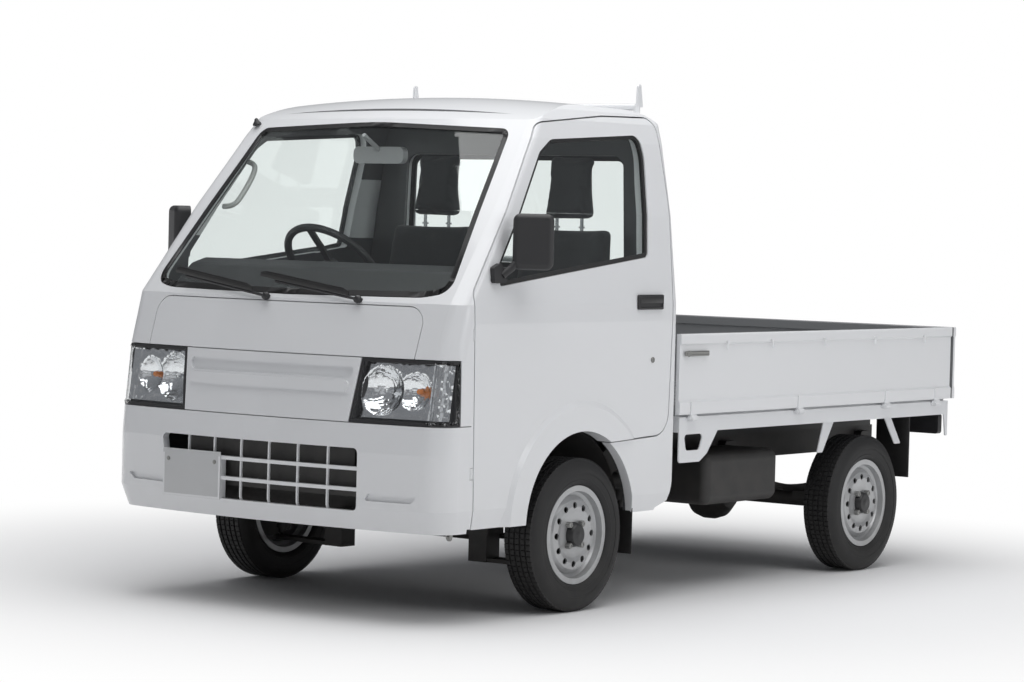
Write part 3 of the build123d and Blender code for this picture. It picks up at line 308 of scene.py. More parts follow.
whole = masks[0]
for mask in masks[1:]:
    whole = place_math("MULTIPLY", whole, mask)
inside_group.links.new(whole, inside_out.inputs["Mask"])


# Mixes near-black painted shade into the colour inside the cab's inner skin
def add_inside_shade(tree, shader, color, depth):
    inside = tree.nodes.new("ShaderNodeGroup")
    inside.node_tree = inside_group
    inside.inputs["Depth"].default_value = depth
    blend = tree.nodes.new("ShaderNodeMix")
    blend.data_type = "RGBA"
    blend.inputs["B"].default_value = (*color, 1.0)
    tree.links.new(shader.inputs["Base Color"].links[0].from_socket, blend.inputs["A"])
    tree.links.new(inside.outputs["Mask"], blend.inputs["Factor"])
    tree.links.new(blend.outputs["Result"], shader.inputs["Base Color"])


panel_white = (0.80, 0.81, 0.825)
panel_dust = (0.52, 0.50, 0.47)
# Near-black painted shade for the inside of the cab and the doors
cab_inside_shade = (0.075, 0.078, 0.082)


def white_paint(name, inside_depth=None):
    material, tree, shader = new_material(name, panel_white, 0.3)
    shader.inputs["Coat Weight"].default_value = 0.6
    shader.inputs["Coat Roughness"].default_value = 0.06
    add_dust(tree, shader, panel_white, panel_dust, 0.35, 0.55)
    add_grain(tree, shader, 260.0, 0.03)
    if inside_depth is not None:
        add_inside_shade(tree, shader, cab_inside_shade, inside_depth)
    return material, tree, shader


white_enamel = white_paint("white_enamel")[0]
# The cab and the doors get painted shade inside their inner skin
cab_enamel_inside_shade = white_paint("cab_enamel_inside_shade", 0.034)[0]
door_enamel_inside_shade = white_paint("door_enamel_inside_shade", 0.047)[0]


def dress(names, material):
    for name in names:
        for slot in nodes[name].material_slots:
            slot.material = material
        if not nodes[name].material_slots:
            nodes[name].data.materials.append(material)


dress(painted_nodes, white_enamel)
dress(("cab_body",), cab_enamel_inside_shade)
dress(("door_left", "door_right"), door_enamel_inside_shade)

# Load bed and gates: the same white outside, and grey painted shade on the
# floor and the gates' inner faces, black below with the frame.
# Grey painted shade for the bed floor and the gates' inner faces
bed_shade_grey = (0.20, 0.206, 0.212)
bed_dust = (0.26, 0.25, 0.23)
under_black = (0.02, 0.02, 0.021)
side_gate_inner = 0.7065
rear_gate_inner = 1.6675
deck_side, deck_end = 0.6938, 1.640
floor_edge = 0.6435
stay_start = 0.675


def split_by(tree, shader, tests, color):
    # Gives one colour where every test of place holds: axis, comparison, edge
    where = tree.nodes.new("ShaderNodeTexCoord")
    split = tree.nodes.new("ShaderNodeSeparateXYZ")
    tree.links.new(where.outputs["Object"], split.inputs[0])
    mask = None
    for axis, comparison, edge in tests:
        size = tree.nodes.new("ShaderNodeMath")
        size.operation = "ABSOLUTE"
        tree.links.new(split.outputs[axis], size.inputs[0])
        compare = tree.nodes.new("ShaderNodeMath")
        compare.operation = comparison
        compare.inputs[1].default_value = edge
        tree.links.new(size.outputs[0] if axis == "X" else split.outputs[axis], compare.inputs[0])
        if mask is None:
            mask = compare.outputs[0]
            continue
        both = tree.nodes.new("ShaderNodeMath")
        both.operation = "MULTIPLY"
        tree.links.new(mask, both.inputs[0])
        tree.links.new(compare.outputs[0], both.inputs[1])
        mask = both.outputs[0]
    blend = tree.nodes.new("ShaderNodeMix")
    blend.data_type = "RGBA"
    blend.inputs["B"].default_value = (*color, 1.0)
    tree.links.new(shader.inputs["Base Color"].links[0].from_socket, blend.inputs["A"])
    tree.links.new(mask, blend.inputs["Factor"])
    tree.links.new(blend.outputs["Result"], shader.inputs["Base Color"])


# The gates' inner faces get grey painted shade
side_gate_paint, tree, shader = white_paint("side_gate_paint")
split_by(tree, shader, (("X", "LESS_THAN", side_gate_inner),), bed_shade_grey)
dress(("gate_left", "gate_right"), side_gate_paint)
rear_gate_paint, tree, shader = white_paint("rear_gate_paint")
split_by(tree, shader, (("Y", "LESS_THAN", rear_gate_inner),), bed_shade_grey)
dress(("gate_rear",), rear_gate_paint)
# The deck's floor is grey painted shade, black below, white on its outer stays and rear end
deck_paint, tree, shader = new_material("deck_paint", bed_shade_grey, 0.45)
add_dust(tree, shader, bed_shade_grey, bed_dust, 0.7, 1.4, 14.0)
split_by(tree, shader, (("Z", "LESS_THAN", floor_edge),), under_black)
split_by(tree, shader, (("X", "GREATER_THAN", stay_start),), panel_white)
split_by(tree, shader, (("Z", "GREATER_THAN", floor_edge), ("X", "LESS_THAN", deck_side)), bed_shade_grey)
split_by(tree, shader, (("Y", "GREATER_THAN", deck_end),), panel_white)
add_grain(tree, shader, 300.0, 0.06)
dress(("bed_deck",), deck_paint)

# Black underbody: welded steel rails, axles and floor under thick black chassis
# paint that stays dull and picks up dust from the road.
under_nodes = (
    "frame_rails", "rear_axle", "front_suspension", "exhaust", "steering_rack", "fuel_tank",
    "knuckle_left", "knuckle_right", "cab_floor",
)
chassis_tone, chassis_dust = (0.018, 0.018, 0.019), (0.075, 0.068, 0.06)
chassis_black, tree, shader = new_material("chassis_black", chassis_tone, 0.55)
add_dust(tree, shader, chassis_tone, chassis_dust, 0.9, 0.9, 14.0)
add_grain(tree, shader, 420.0, 0.25)
dress(under_nodes, chassis_black)

# Engine and gearbox: sand-cast aluminium and iron under the seats and the bed,
# dull grey with an oily film, bolted up on rubber mounts between the rails.
cast_tone, cast_oil = (0.09, 0.09, 0.092), (0.05, 0.045, 0.04)
cast_metal, tree, shader = new_material("cast_metal", cast_tone, 0.5, 0.6)
add_dust(tree, shader, cast_tone, cast_oil, 1.0, 1.2, 20.0)
add_grain(tree, shader, 700.0, 0.35)
dress(("powertrain",), cast_metal)

# Moulded black trim: grained polypropylene on the dashboard, wipers, mirrors
# and steering wheel, matt with a fine leather-like texture.
trim_nodes = ("dashboard", "wipers", "mirror_left", "mirror_right", "steering_wheel")
black_trim, tree, shader = new_material("black_trim", (0.022, 0.022, 0.024), 0.48)
pebble = tree.nodes.new("ShaderNodeTexVoronoi")
pebble.inputs["Scale"].default_value = 520.0
pebble_where = tree.nodes.new("ShaderNodeTexCoord")
pebble_bump = tree.nodes.new("ShaderNodeBump")
pebble_bump.inputs["Strength"].default_value = 0.25
pebble_bump.inputs["Distance"].default_value = 0.0006
tree.links.new(pebble_where.outputs["Object"], pebble.inputs["Vector"])
tree.links.new(pebble.outputs["Distance"], pebble_bump.inputs["Height"])
tree.links.new(pebble_bump.outputs["Normal"], shader.inputs["Normal"])
dress(trim_nodes, black_trim)

# Window glass: tempered panes, laminated in the windscreen, with a faint green
# tint, held in their openings by the rubber strips that come further on.
pane_nodes = ("windscreen", "rear_window", "door_glass_left", "door_glass_right")


def make_glass(name, color, roughness=0.0):
    material, tree, shader = new_material(name, color, roughness)
    shader.inputs["Transmission Weight"].default_value = 1.0
    shader.inputs["IOR"].default_value = 1.45
    clear = tree.nodes.new("ShaderNodeBsdfTransparent")
    clear.inputs["Color"].default_value = (*color, 1.0)
    path = tree.nodes.new("ShaderNodeLightPath")
    mix = tree.nodes.new("ShaderNodeMixShader")
    output = tree.nodes["Material Output"]
    tree.links.new(path.outputs["Is Shadow Ray"], mix.inputs["Fac"])
    tree.links.new(shader.outputs["BSDF"], mix.inputs[1])
    tree.links.new(clear.outputs["BSDF"], mix.inputs[2])
    tree.links.new(mix.outputs["Shader"], output.inputs["Surface"])
    return material


window_glass = make_glass("window_glass", (0.93, 0.965, 0.955))
dress(pane_nodes, window_glass)

# Interior mirror: a grey moulded plastic case on a short stalk, screwed to the
# roof rail just under the windscreen's upper edge.
mirror_grey, tree, shader = new_material("mirror_grey", (0.42, 0.42, 0.43), 0.4)
add_grain(tree, shader, 500.0, 0.1)
dress(("room_mirror",), mirror_grey)

# Tyres: radial truck tyres moulded in black rubber, five ribs of small blocks
# on the crown, ringed sidewalls and beads seated in the rim's flanges.
wheel_places = (
    ("front_left", 0.6525, -0.869, 1.0, "wheel_front_left"),
    ("front_right", -0.6525, -0.869, -1.0, "wheel_front_right"),
    ("rear_left", 0.645, 1.036, 1.0, "wheel_rear_left"),
    ("rear_right", -0.645, 1.036, -1.0, "wheel_rear_right"),
)
hub_height = 0.262
tread_steps = 84
tread_rise = 0.0052
tread_gap = 0.0014
crown_radius = 0.2562
rib_edges = (0.0085, 0.0135, 0.031, 0.036, 0.054)
rib_spans = ((0.0, 0.002), (0.018, 0.026), (0.040, 0.050))
sidewall_rings = (
    # across from the middle, radius
    (0.0585, 0.2515), (0.0655, 0.2410), (0.0693, 0.2290), (0.0706, 0.2170), (0.0701, 0.2120),
    (0.0688, 0.2115), (0.0692, 0.2020), (0.0668, 0.1900), (0.0677, 0.1885), (0.0655, 0.1815),
    (0.0605, 0.1745), (0.0560, 0.1705), (0.0507, 0.1690), (0.0507, 0.1535), (0.0420, 0.1535),
    (0.0420, 0.1760), (0.0590, 0.2060), (0.0500, 0.2430),
)


def spun_ring(name, profile, steps):
    clear_selection()
    bpy.ops.mesh.primitive_circle_add(vertices=len(profile), radius=0.1)
    piece = bpy.context.object
    piece.name = name
    for vertex, (across, radius) in zip(piece.data.vertices, profile):
        vertex.co = (across, 0.0, radius)
    bpy.ops.object.mode_set(mode="EDIT")
    bpy.ops.mesh.select_all(action="SELECT")
    bpy.ops.mesh.spin(steps=steps, angle=2 * math.pi, center=(0, 0, 0), axis=(1, 0, 0))
    bpy.ops.mesh.select_all(action="SELECT")
    bpy.ops.mesh.remove_doubles(threshold=0.00001)
    bpy.ops.mesh.normals_make_consistent(inside=False)
    bpy.ops.object.mode_set(mode="OBJECT")
    return piece


def take(piece):
    clear_selection()
    bpy.context.view_layer.objects.active = piece
    piece.select_set(True)


def pick_faces(piece, wanted):
    take(piece)
    bpy.ops.object.mode_set(mode="EDIT")
    bpy.ops.mesh.select_mode(type="FACE")
    bpy.ops.mesh.select_all(action="DESELECT")
    bpy.ops.object.mode_set(mode="OBJECT")
    for face in piece.data.polygons:
        face.select = wanted(face)
    bpy.ops.object.mode_set(mode="EDIT")


def settle(piece, angle=35.0):
    take(piece)
    bpy.ops.object.transform_apply(location=True, rotation=True, scale=True)
    bpy.ops.object.shade_smooth_by_angle(angle=math.radians(angle))
    return piece


def twin(piece, name, matrix):
    copy = piece.copy()
    copy.data = piece.data.copy()
    copy.name = name
    scene.collection.objects.link(copy)
    copy.data.transform(matrix)
    if matrix.determinant() < 0:
        copy.data.flip_normals()
    copy.data.update()
    return copy


def wheel_matrix(x, y, side):
    turn = Matrix.Identity(4) if side > 0 else Matrix.Rotation(math.pi, 4, "Z")
    return Matrix.Translation((x, y, hub_height)) @ turn


crown = [(edge, crown_radius) for edge in rib_edges]
half = crown + list(sidewall_rings)
tyre_profile = half + [(-across, radius) for across, radius in reversed(half)]
tyre = spun_ring("tyre_master", tyre_profile, tread_steps)


def on_rib(face):
    across = abs(face.center.x)
    reach = math.hypot(face.center.y, face.center.z)
    on_crown = reach > crown_radius - 0.0006
    return on_crown and any(low <= across < high for low, high in rib_spans)


pick_faces(tyre, on_rib)
bpy.ops.mesh.inset(thickness=tread_gap, depth=tread_rise, use_individual=True)
settle(tyre, 28.0)
tyre_black, tyre_dust = (0.009, 0.009, 0.010), (0.034, 0.032, 0.029)
tyre_rubber, tree, shader = new_material("tyre_rubber", tyre_black, 0.62)
add_dust(tree, shader, tyre_black, tyre_dust, 0.8, 0.6, 22.0)
add_grain(tree, shader, 600.0, 0.2)
tyre.data.materials.append(tyre_rubber)
for label, x, y, side, body in wheel_places:
    new_tyre = twin(tyre, "road_tyre_" + label, wheel_matrix(x, y, side))
    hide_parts("tyre_" + label)
    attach(new_tyre, body)
bpy.data.objects.remove(tyre)

# Wheels: pressed steel discs and rims in silver enamel, with twelve round holes,
# four zinc nuts and a black pressed cap over the hub.
silver_tone, brake_dust = (0.50, 0.51, 0.52), (0.20, 0.185, 0.17)
silver_enamel, tree, shader = new_material("silver_enamel", silver_tone, 0.36, 0.55)
shader.inputs["Coat Weight"].default_value = 0.35
shader.inputs["Coat Roughness"].default_value = 0.12
add_dust(tree, shader, silver_tone, brake_dust, 0.7, 0.6, 30.0)
add_grain(tree, shader, 900.0, 0.05)
dress(("rim_front_left", "rim_front_right", "rim_rear_left", "rim_rear_right"), silver_enamel)
cap_black, tree, shader = new_material("cap_black", (0.02, 0.02, 0.021), 0.38)
add_grain(tree, shader, 800.0, 0.12)
zinc_plate, tree, shader = new_material("zinc_plate", (0.30, 0.30, 0.29), 0.38, 0.9)
add_grain(tree, shader, 1100.0, 0.15)
cap_profile = (
    # across from the wheel's middle, radius
    (0.0405, 0.0005), (0.0405, 0.0412), (0.0430, 0.0432), (0.0470, 0.0424), (0.0610, 0.0372),
    (0.0655, 0.0340), (0.0665, 0.0290), (0.0652, 0.0180), (0.0668, 0.0120), (0.0672, 0.0005),
)
hub_cap = spun_ring("hub_cap_master", cap_profile, 48)
settle(hub_cap, 40.0)
hub_cap.data.materials.append(cap_black)
nut_count = 4
nut_circle = 0.050
nut_radius, nut_length, nut_across = 0.0112, 0.017, 0.0505
clear_selection()
bpy.ops.mesh.primitive_cylinder_add(
    vertices=6, radius=nut_radius, depth=nut_length, location=(nut_across, 0, nut_circle)
)
nut = bpy.context.object
nut.rotation_euler = (0, math.pi / 2, 0)
bpy.ops.object.transform_apply(location=True, rotation=True, scale=True)
pick_faces(nut, lambda face: face.normal.x > 0.9)
bpy.ops.mesh.inset(thickness=0.002, depth=0.0016)
bpy.ops.mesh.inset(thickness=0.0035, depth=0.0)
bpy.ops.mesh.inset(thickness=0.0005, depth=-0.003)
settle(nut, 25.0)
nut.data.materials.append(zinc_plate)
for label, x, y, side, body in wheel_places:
    place = wheel_matrix(x, y, side)
    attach(twin(hub_cap, "hub_cap_" + label, place), body)
    for number in range(nut_count):
        turn = Matrix.Rotation(math.radians(45.0 + 360.0 / nut_count * number), 4, "X")
        new_nut = twin(nut, "wheel_nut_%s_%d" % (label, number), place @ turn)
        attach(new_nut, body)
bpy.data.objects.remove(nut)
bpy.data.objects.remove(hub_cap)

# Headlamps: a clear outer lens in a black moulded housing, a chromed main bowl
# beside a smaller turn-signal bowl with an amber bulb, one lamp each side.
lamp_clear = make_glass("lamp_clear", (0.97, 0.98, 0.985))
chrome, tree, shader = new_material("chrome", (0.83, 0.84, 0.85), 0.09, 1.0)
add_grain(tree, shader, 60.0, 0.08)
bowl_chrome, tree, shader = new_material("bowl_chrome", (0.86, 0.87, 0.88), 0.12, 1.0)
flutes = tree.nodes.new("ShaderNodeTexVoronoi")
flutes.inputs["Scale"].default_value = 55.0
flute_where = tree.nodes.new("ShaderNodeTexCoord")
flute_bump = tree.nodes.new("ShaderNodeBump")
flute_bump.inputs["Strength"].default_value = 0.5
flute_bump.inputs["Distance"].default_value = 0.004
tree.links.new(flute_where.outputs["Object"], flutes.inputs["Vector"])
tree.links.new(flutes.outputs["Distance"], flute_bump.inputs["Height"])
tree.links.new(flute_bump.outputs["Normal"], shader.inputs["Normal"])
amber_glass, tree, shader = new_material("amber_glass", (0.75, 0.22, 0.03), 0.12)
shader.inputs["Coat Weight"].default_value = 0.8
add_grain(tree, shader, 200.0, 0.05)


def shell_copy(node, name):
    copy = nodes[node].copy()
    copy.data = nodes[node].data.copy()
    copy.name = name
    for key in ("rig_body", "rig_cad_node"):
        if key in copy:
            del copy[key]
    copy.parent = None
    scene.collection.objects.link(copy)
    copy.hide_viewport = False
    copy.hide_render = False
    take(copy)
    bpy.ops.object.mode_set(mode="EDIT")
    bpy.ops.mesh.select_all(action="SELECT")
    bpy.ops.mesh.remove_doubles(threshold=0.00002)
    bpy.ops.object.mode_set(mode="OBJECT")
    return copy


def thicken(piece, depth, offset=-1.0):
    take(piece)
    modifier = piece.modifiers.new("wall", "SOLIDIFY")
    modifier.thickness = depth
    modifier.offset = offset
    modifier.use_even_offset = False
    bpy.ops.object.modifier_apply(modifier="wall")


def set_material(piece, material):
    piece.data.materials.clear()
    piece.data.materials.append(material)


lens_wall, bezel_wall, tray_wall = 0.0025, 0.006, 0.0012
frame_band = 0.011
lamp_back = -1.5485
bow_depth = 0.062
bow_half = 0.727
corner_start, corner_radius = 0.640, 0.088
lamp_foot_y, lamp_foot_z, lamp_lean = -1.688, 0.6545, 0.033 / 0.212
dishes = (
    # x, z, radius, depth
    (0.462, 0.760, 0.080, 0.052),
    (0.584, 0.762, 0.060, 0.036),
)
bulbs = (
    # x, z, radius, y of its back, y of its tip
    (0.462, 0.760, 0.0085, -1.570, -1.606),
    (0.584, 0.762, 0.0095, -1.566, -1.590),
)


def outer_sheet(node, name, wanted):
    sheet = shell_copy(node, name)
    pick_faces(sheet, lambda face: not wanted(face))
    bpy.ops.mesh.delete(type="FACE")
    bpy.ops.object.mode_set(mode="OBJECT")
    return sheet


def split_border(sheet, band, keep_border, even=True):
    pick_faces(sheet, lambda face: True)
    bpy.ops.mesh.inset(thickness=band, use_boundary=True, use_even_offset=even)
    if not keep_border:
        bpy.ops.mesh.select_all(action="INVERT")
    bpy.ops.mesh.delete(type="FACE")
    bpy.ops.object.mode_set(mode="OBJECT")


def lamp_front(x, z):
    # The lens follows the cab: bowed in plan and leaning back as it rises
    corner = max(abs(x) - corner_start, 0.0)
    turn_back = corner_radius - math.sqrt(max(corner_radius ** 2 - corner ** 2, 0.0))
    lean_back = lamp_lean * (z - lamp_foot_z)
    return lamp_foot_y + lean_back + bow_depth * (x / bow_half) ** 2 + turn_back


reflector_low, reflector_high = 0.672, 0.850
reflector_inner, reflector_outer = 0.374, 0.708
reflector_set = 0.026
rib_start, rib_height = 0.648, 0.0015
clear_selection()
bpy.ops.mesh.primitive_grid_add(x_subdivisions=84, y_subdivisions=44, size=1.0)
reflector = bpy.context.object
for vertex in reflector.data.vertices:
    share_x, share_z = vertex.co.x + 0.5, vertex.co.y + 0.5
    x = reflector_inner + (reflector_outer - reflector_inner) * share_x
    z = reflector_low + (reflector_high - reflector_low) * share_z
    dip = 0.0
    for dish_x, dish_z, dish_radius, dish_depth in dishes:
        reach = math.hypot(x - dish_x, z - dish_z) / dish_radius
        if reach < 1.0:
            dip = max(dip, dish_depth * (1.0 - reach * reach) + 0.004)
    rib = rib_height * math.cos((x - rib_start) * 500.0) if x > rib_start else 0.0
    rise = min(max((x - 0.650) / 0.030, 0.0), 1.0) * (reflector_set - 0.012)
    vertex.co = (x, lamp_front(x, z) + reflector_set - rise + dip + rib, z)
thicken(reflector, tray_wall, 0.0)
pick_faces(reflector, lambda face: True)
bpy.ops.mesh.normals_make_consistent(inside=False)
settle(reflector, 50.0)
set_material(reflector, bowl_chrome)
bulb_pieces = []
to_front = Matrix.Rotation(-math.pi / 2, 4, "Z")
bulb_profile = (
    # share of the length, share of the radius
    (0.0, 0.8), (0.25, 1.0), (0.7, 1.0), (0.92, 0.7),
)
for number, (bulb_x, bulb_z, bulb_radius, back_y, tip_y) in enumerate(bulbs):
    length = back_y - tip_y
    rings = [(length * along, bulb_radius * out) for along, out in bulb_profile]
    bulb = spun_ring("bulb_%d" % number, [(0.0, 0.0004), *rings, (length, 0.0004)], 20)
    bulb.data.transform(Matrix.Translation((bulb_x, back_y, bulb_z)) @ to_front)
    settle(bulb, 45.0)
    set_material(bulb, chrome if number == 0 else amber_glass)
    bulb_pieces.append(bulb)
to_right = Matrix.Scale(-1.0, 4, (1, 0, 0))
for side, label in ((1.0, "left"), (-1.0, "right")):
    node = "headlamp_" + label

    def looks_out(face):
        return (face.normal.y < -0.25 or face.normal.x * side > 0.45) and face.center.y < lamp_back

    lens = outer_sheet(node, "lamp_lens_" + label, looks_out)
    split_border(lens, frame_band, False, False)
    thicken(lens, lens_wall)
    settle(lens, 30.0)
    set_material(lens, lamp_clear)
    bezel = outer_sheet(node, "lamp_bezel_" + label, looks_out)
    split_border(bezel, frame_band, True, False)
    thicken(bezel, bezel_wall)
    settle(bezel, 30.0)
    set_material(bezel, black_trim)
    tray = outer_sheet(node, "lamp_tray_" + label, lambda face: not looks_out(face))
    thicken(tray, tray_wall)
    settle(tray, 30.0)
    set_material(tray, black_trim)
    place = Matrix.Identity(4) if side > 0 else to_right
    new_reflector = twin(reflector, "lamp_reflector_" + label, place)
    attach(new_reflector, "chassis")
    for number, bulb in enumerate(bulb_pieces):
        new_bulb = twin(bulb, "lamp_bulb_%s_%d" % (label, number), place)
        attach(new_bulb, "chassis")
    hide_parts(node)
    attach(lens, "chassis")
    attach(bezel, "chassis")
    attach(tray, "chassis")
for master in [reflector, *bulb_pieces]:
    bpy.data.objects.remove(master)

# Rubber seals: black extruded weatherstrip pressed round each pane, thicker
# round the windscreen and flush with the skin at the doors.
seal_tone, seal_dust = (0.012, 0.012, 0.013), (0.035, 0.033, 0.03)
seal_rubber, tree, shader = new_material("seal_rubber", seal_tone, 0.5)
add_dust(tree, shader, seal_tone, seal_dust, 0.5, 1.8, 25.0)
add_grain(tree, shader, 700.0, 0.15)
seal_set = (
    # pane node, body, strip width, strip thickness, facing test
    ("windscreen", "chassis", 0.022, 0.0045, lambda face: face.normal.y < -0.25),
    ("rear_window", "chassis", 0.018, 0.009, lambda face: face.normal.y > 0.5),
    ("door_glass_left", "door_left", 0.014, 0.011, lambda face: face.normal.x > 0.5),
    ("door_glass_right", "door_right", 0.014, 0.011, lambda face: face.normal.x < -0.5),
)
for node, body, band, height, facing in seal_set:
    seal = outer_sheet(node, "seal_" + node, facing)
    split_border(seal, band, True)
    thicken(seal, height, 1.0)
    settle(seal, 30.0)
    set_material(seal, seal_rubber)
    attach(seal, body)


# Door handles: a black moulded cup let into the skin with a hinged lift bar,
# and a small lock barrel below it.
def block(name, centre, size, round_by=0.0, round_steps=3, turn=None):
    clear_selection()
    bpy.ops.mesh.primitive_cube_add(size=1.0)
    piece = bpy.context.object
    piece.name = name
    piece.data.transform(Matrix.Diagonal((*size, 1.0)))
    if round_by:
        bpy.ops.object.mode_set(mode="EDIT")
        bpy.ops.mesh.select_all(action="SELECT")
        bpy.ops.mesh.bevel(offset=round_by, segments=round_steps, affect="EDGES")
        bpy.ops.object.mode_set(mode="OBJECT")
    if turn is not None:
        piece.data.transform(turn)
    piece.data.transform(Matrix.Translation(centre))
    return piece


def fit_pair(master, name, body):
    # One copy on each side of the truck, mirrored to the right
    for side, label in ((1.0, "left"), (-1.0, "right")):
        place = Matrix.Identity(4) if side > 0 else to_right
        piece = twin(master, name + "_" + label, place)
        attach(piece, body if body == "chassis" else body + "_" + label)
    bpy.data.objects.remove(master)


cup_centre, cup_size = (0.7285, -0.491, 1.0505), (0.010, 0.154, 0.052)
bar_centre, bar_size = (0.7325, -0.494, 1.058), (0.008, 0.136, 0.024)
lock_centre = (0.7262, -0.468, 0.849)
handle_cup = block("handle_cup", cup_centre, cup_size, 0.0045, 3)
pick_faces(handle_cup, lambda face: face.normal.x > 0.95)
bpy.ops.mesh.inset(thickness=0.005)
bpy.ops.mesh.inset(thickness=0.003, depth=-0.0035)
settle(handle_cup, 35.0)
set_material(handle_cup, black_trim)
handle_bar = block("handle_bar", bar_centre, bar_size, 0.003, 3)
pick_faces(handle_bar, lambda face: face.normal.z < -0.95)
bpy.ops.mesh.inset(thickness=0.002, depth=-0.002)
settle(handle_bar, 35.0)
set_material(handle_bar, cap_black)
lock_profile = (
    # out from the door's skin, radius
    (0.0, 0.0004), (0.0, 0.0100), (0.0035, 0.0100), (0.0045, 0.0092), (0.0045, 0.0060),
    (0.0030, 0.0055), (0.0030, 0.0004),
)
lock_barrel = spun_ring("lock_barrel", lock_profile, 28)
lock_barrel.data.transform(Matrix.Translation(lock_centre))
settle(lock_barrel, 35.0)
set_material(lock_barrel, zinc_plate)
fit_pair(handle_cup, "handle_cup", "door")
fit_pair(handle_bar, "handle_bar", "door")
fit_pair(lock_barrel, "lock_barrel", "door")

# Mirror glass: a pane of silvered glass with ground edges, glued to its backing
# plate in the back of each door mirror's housing.
silvered, tree, shader = new_material("silvered", (0.86, 0.88, 0.89), 0.03, 1.0)
add_grain(tree, shader, 20.0, 0.01)
mirror_centre, mirror_turn = (0.789, -1.262, 1.254), math.radians(36.0)
mirror_place = Matrix.Translation(mirror_centre) @ Matrix.Rotation(mirror_turn, 4, "Z")
mirror_set, mirror_size = 0.0255, (0.114, 0.003, 0.164)
mirror_glass = block("mirror_glass", (0, mirror_set, 0), mirror_size, 0.0012, 2)
pick_faces(mirror_glass, lambda face: face.normal.y > 0.95)
bpy.ops.mesh.inset(thickness=0.004, depth=0.0006)
bpy.ops.object.mode_set(mode="OBJECT")
mirror_glass.data.transform(mirror_place)
settle(mirror_glass, 30.0)
set_material(mirror_glass, silvered)
fit_pair(mirror_glass, "mirror_glass", "door")

# Wiper blades: a rubber strip in a pressed steel bow on the end of each arm, and
# a moulded boss over the nut that holds the arm to its spindle.
wiper_runs = (
    # pivot, tip
    ((-0.060, -1.610, 1.050), (-0.470, -1.560, 1.104)),
    ((0.330, -1.598, 1.052), (-0.040, -1.586, 1.100)),
)
blade_length = 0.40
boss_profile = ((0.0, 0.0004), (0.0, 0.0130), (0.010, 0.0130), (0.016, 0.0105), (0.018, 0.0004))
for number, (pivot, tip) in enumerate(wiper_runs):
    run = Vector(tip) - Vector(pivot)
    facing = run.to_track_quat("X", "Z").to_matrix().to_4x4()
    blade = block("wiper_blade_%d" % number, (0, 0, 0), (blade_length, 0.006, 0.016), 0.0015, 2)
    pick_faces(blade, lambda face: face.normal.z > 0.95)
    bpy.ops.mesh.inset(thickness=0.001, depth=0.0)
    bpy.ops.transform.resize(value=(0.86, 1.0, 1.0), center_override=(0, 0, 0))
    bpy.ops.transform.translate(value=(0, 0, 0.006))
    bpy.ops.object.mode_set(mode="OBJECT")
    centre = Vector(tip) - run * 0.36 + Vector((0, -0.004, 0.014))
    blade.data.transform(Matrix.Translation(centre) @ facing)
    settle(blade, 35.0)
    set_material(blade, seal_rubber)
    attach(blade, "chassis")
    boss = spun_ring("wiper_boss_%d" % number, boss_profile, 24)
    boss.data.transform(Matrix.Translation(Vector(pivot) + Vector((0, 0.004, 0))) @ to_front)
    settle(boss, 35.0)
    set_material(boss, black_trim)
    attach(boss, "chassis")

# Plates: a blank painted steel plate low on the bumper and one under the rear
# gate, each pressed with a raised edge and held by two bolts; both are bare.
plate_tone, plate_dust = (0.60, 0.61, 0.62), (0.40, 0.38, 0.35)
plate_paint, tree, shader = new_material("plate_paint", plate_tone, 0.4)
add_dust(tree, shader, plate_tone, plate_dust, 0.5, 0.7)
add_grain(tree, shader, 350.0, 0.04)
plate_size = (0.262, 0.004, 0.160)
bolt_pitch = 0.210
bolt_up = 0.045
bolt_profile = (
    (0.0, 0.0004), (0.0, 0.0075), (0.0012, 0.0075), (0.0012, 0.0050), (0.0036, 0.0050),
    (0.0036, 0.0004),
)
plate_set = (
    # name, centre, turn about Z
    ("front_plate", (-0.306, -1.6915, 0.443), 0.0),
    ("rear_plate", (0.0, 1.6585, 0.567), math.pi),
)
for name, centre, turn in plate_set:
    place = Matrix.Translation(centre) @ Matrix.Rotation(turn, 4, "Z")
    plate = block(name, (0, 0, 0), plate_size, 0.0015, 2)
    pick_faces(plate, lambda face: face.normal.y < -0.95)
    bpy.ops.mesh.inset(thickness=0.004, depth=-0.001)
    bpy.ops.mesh.inset(thickness=0.003, depth=0.0012)
    bpy.ops.object.mode_set(mode="OBJECT")
    plate.data.transform(place)
    settle(plate, 30.0)
    set_material(plate, plate_paint)
    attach(plate, "chassis")
    for number, end in enumerate((-1.0, 1.0)):
        bolt = spun_ring("%s_bolt_%d" % (name, number), bolt_profile, 18)
        spot = Matrix.Translation((end * bolt_pitch / 2, -0.0018, bolt_up))
        bolt.data.transform(place @ spot @ to_front)
        settle(bolt, 30.0)
        set_material(bolt, zinc_plate)
        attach(bolt, "chassis")

# Tail lamps: a black housing under each rear corner with red, amber and clear
# lens blocks side by side on its rear face.
lamp_red, tree, shader = new_material("lamp_red", (0.45, 0.01, 0.012), 0.15)
shader.inputs["Coat Weight"].default_value = 0.9
add_grain(tree, shader, 300.0, 0.05)
lamp_white, tree, shader = new_material("lamp_white", (0.75, 0.76, 0.76), 0.2)
shader.inputs["Coat Weight"].default_value = 0.9
add_grain(tree, shader, 300.0, 0.05)
dress(("tail_lamp_left", "tail_lamp_right"), black_trim)
lens_face_y, lens_z = 1.6565, 0.5457
lens_size = (0.052, 0.008, 0.060)
for colour, x, material in (
    ("red", 0.590, lamp_red),
    ("amber", 0.648, amber_glass),
    ("clear", 0.532, lamp_white),
):
    lens_block = block("tail_lens_" + colour, (x, lens_face_y, lens_z), lens_size, 0.0025, 3)
    pick_faces(lens_block, lambda face: face.normal.y > 0.95)
    bpy.ops.mesh.inset(thickness=0.004, depth=0.001)
    settle(lens_block, 30.0)
    set_material(lens_block, material)
    fit_pair(lens_block, "tail_lens_" + colour, "chassis")

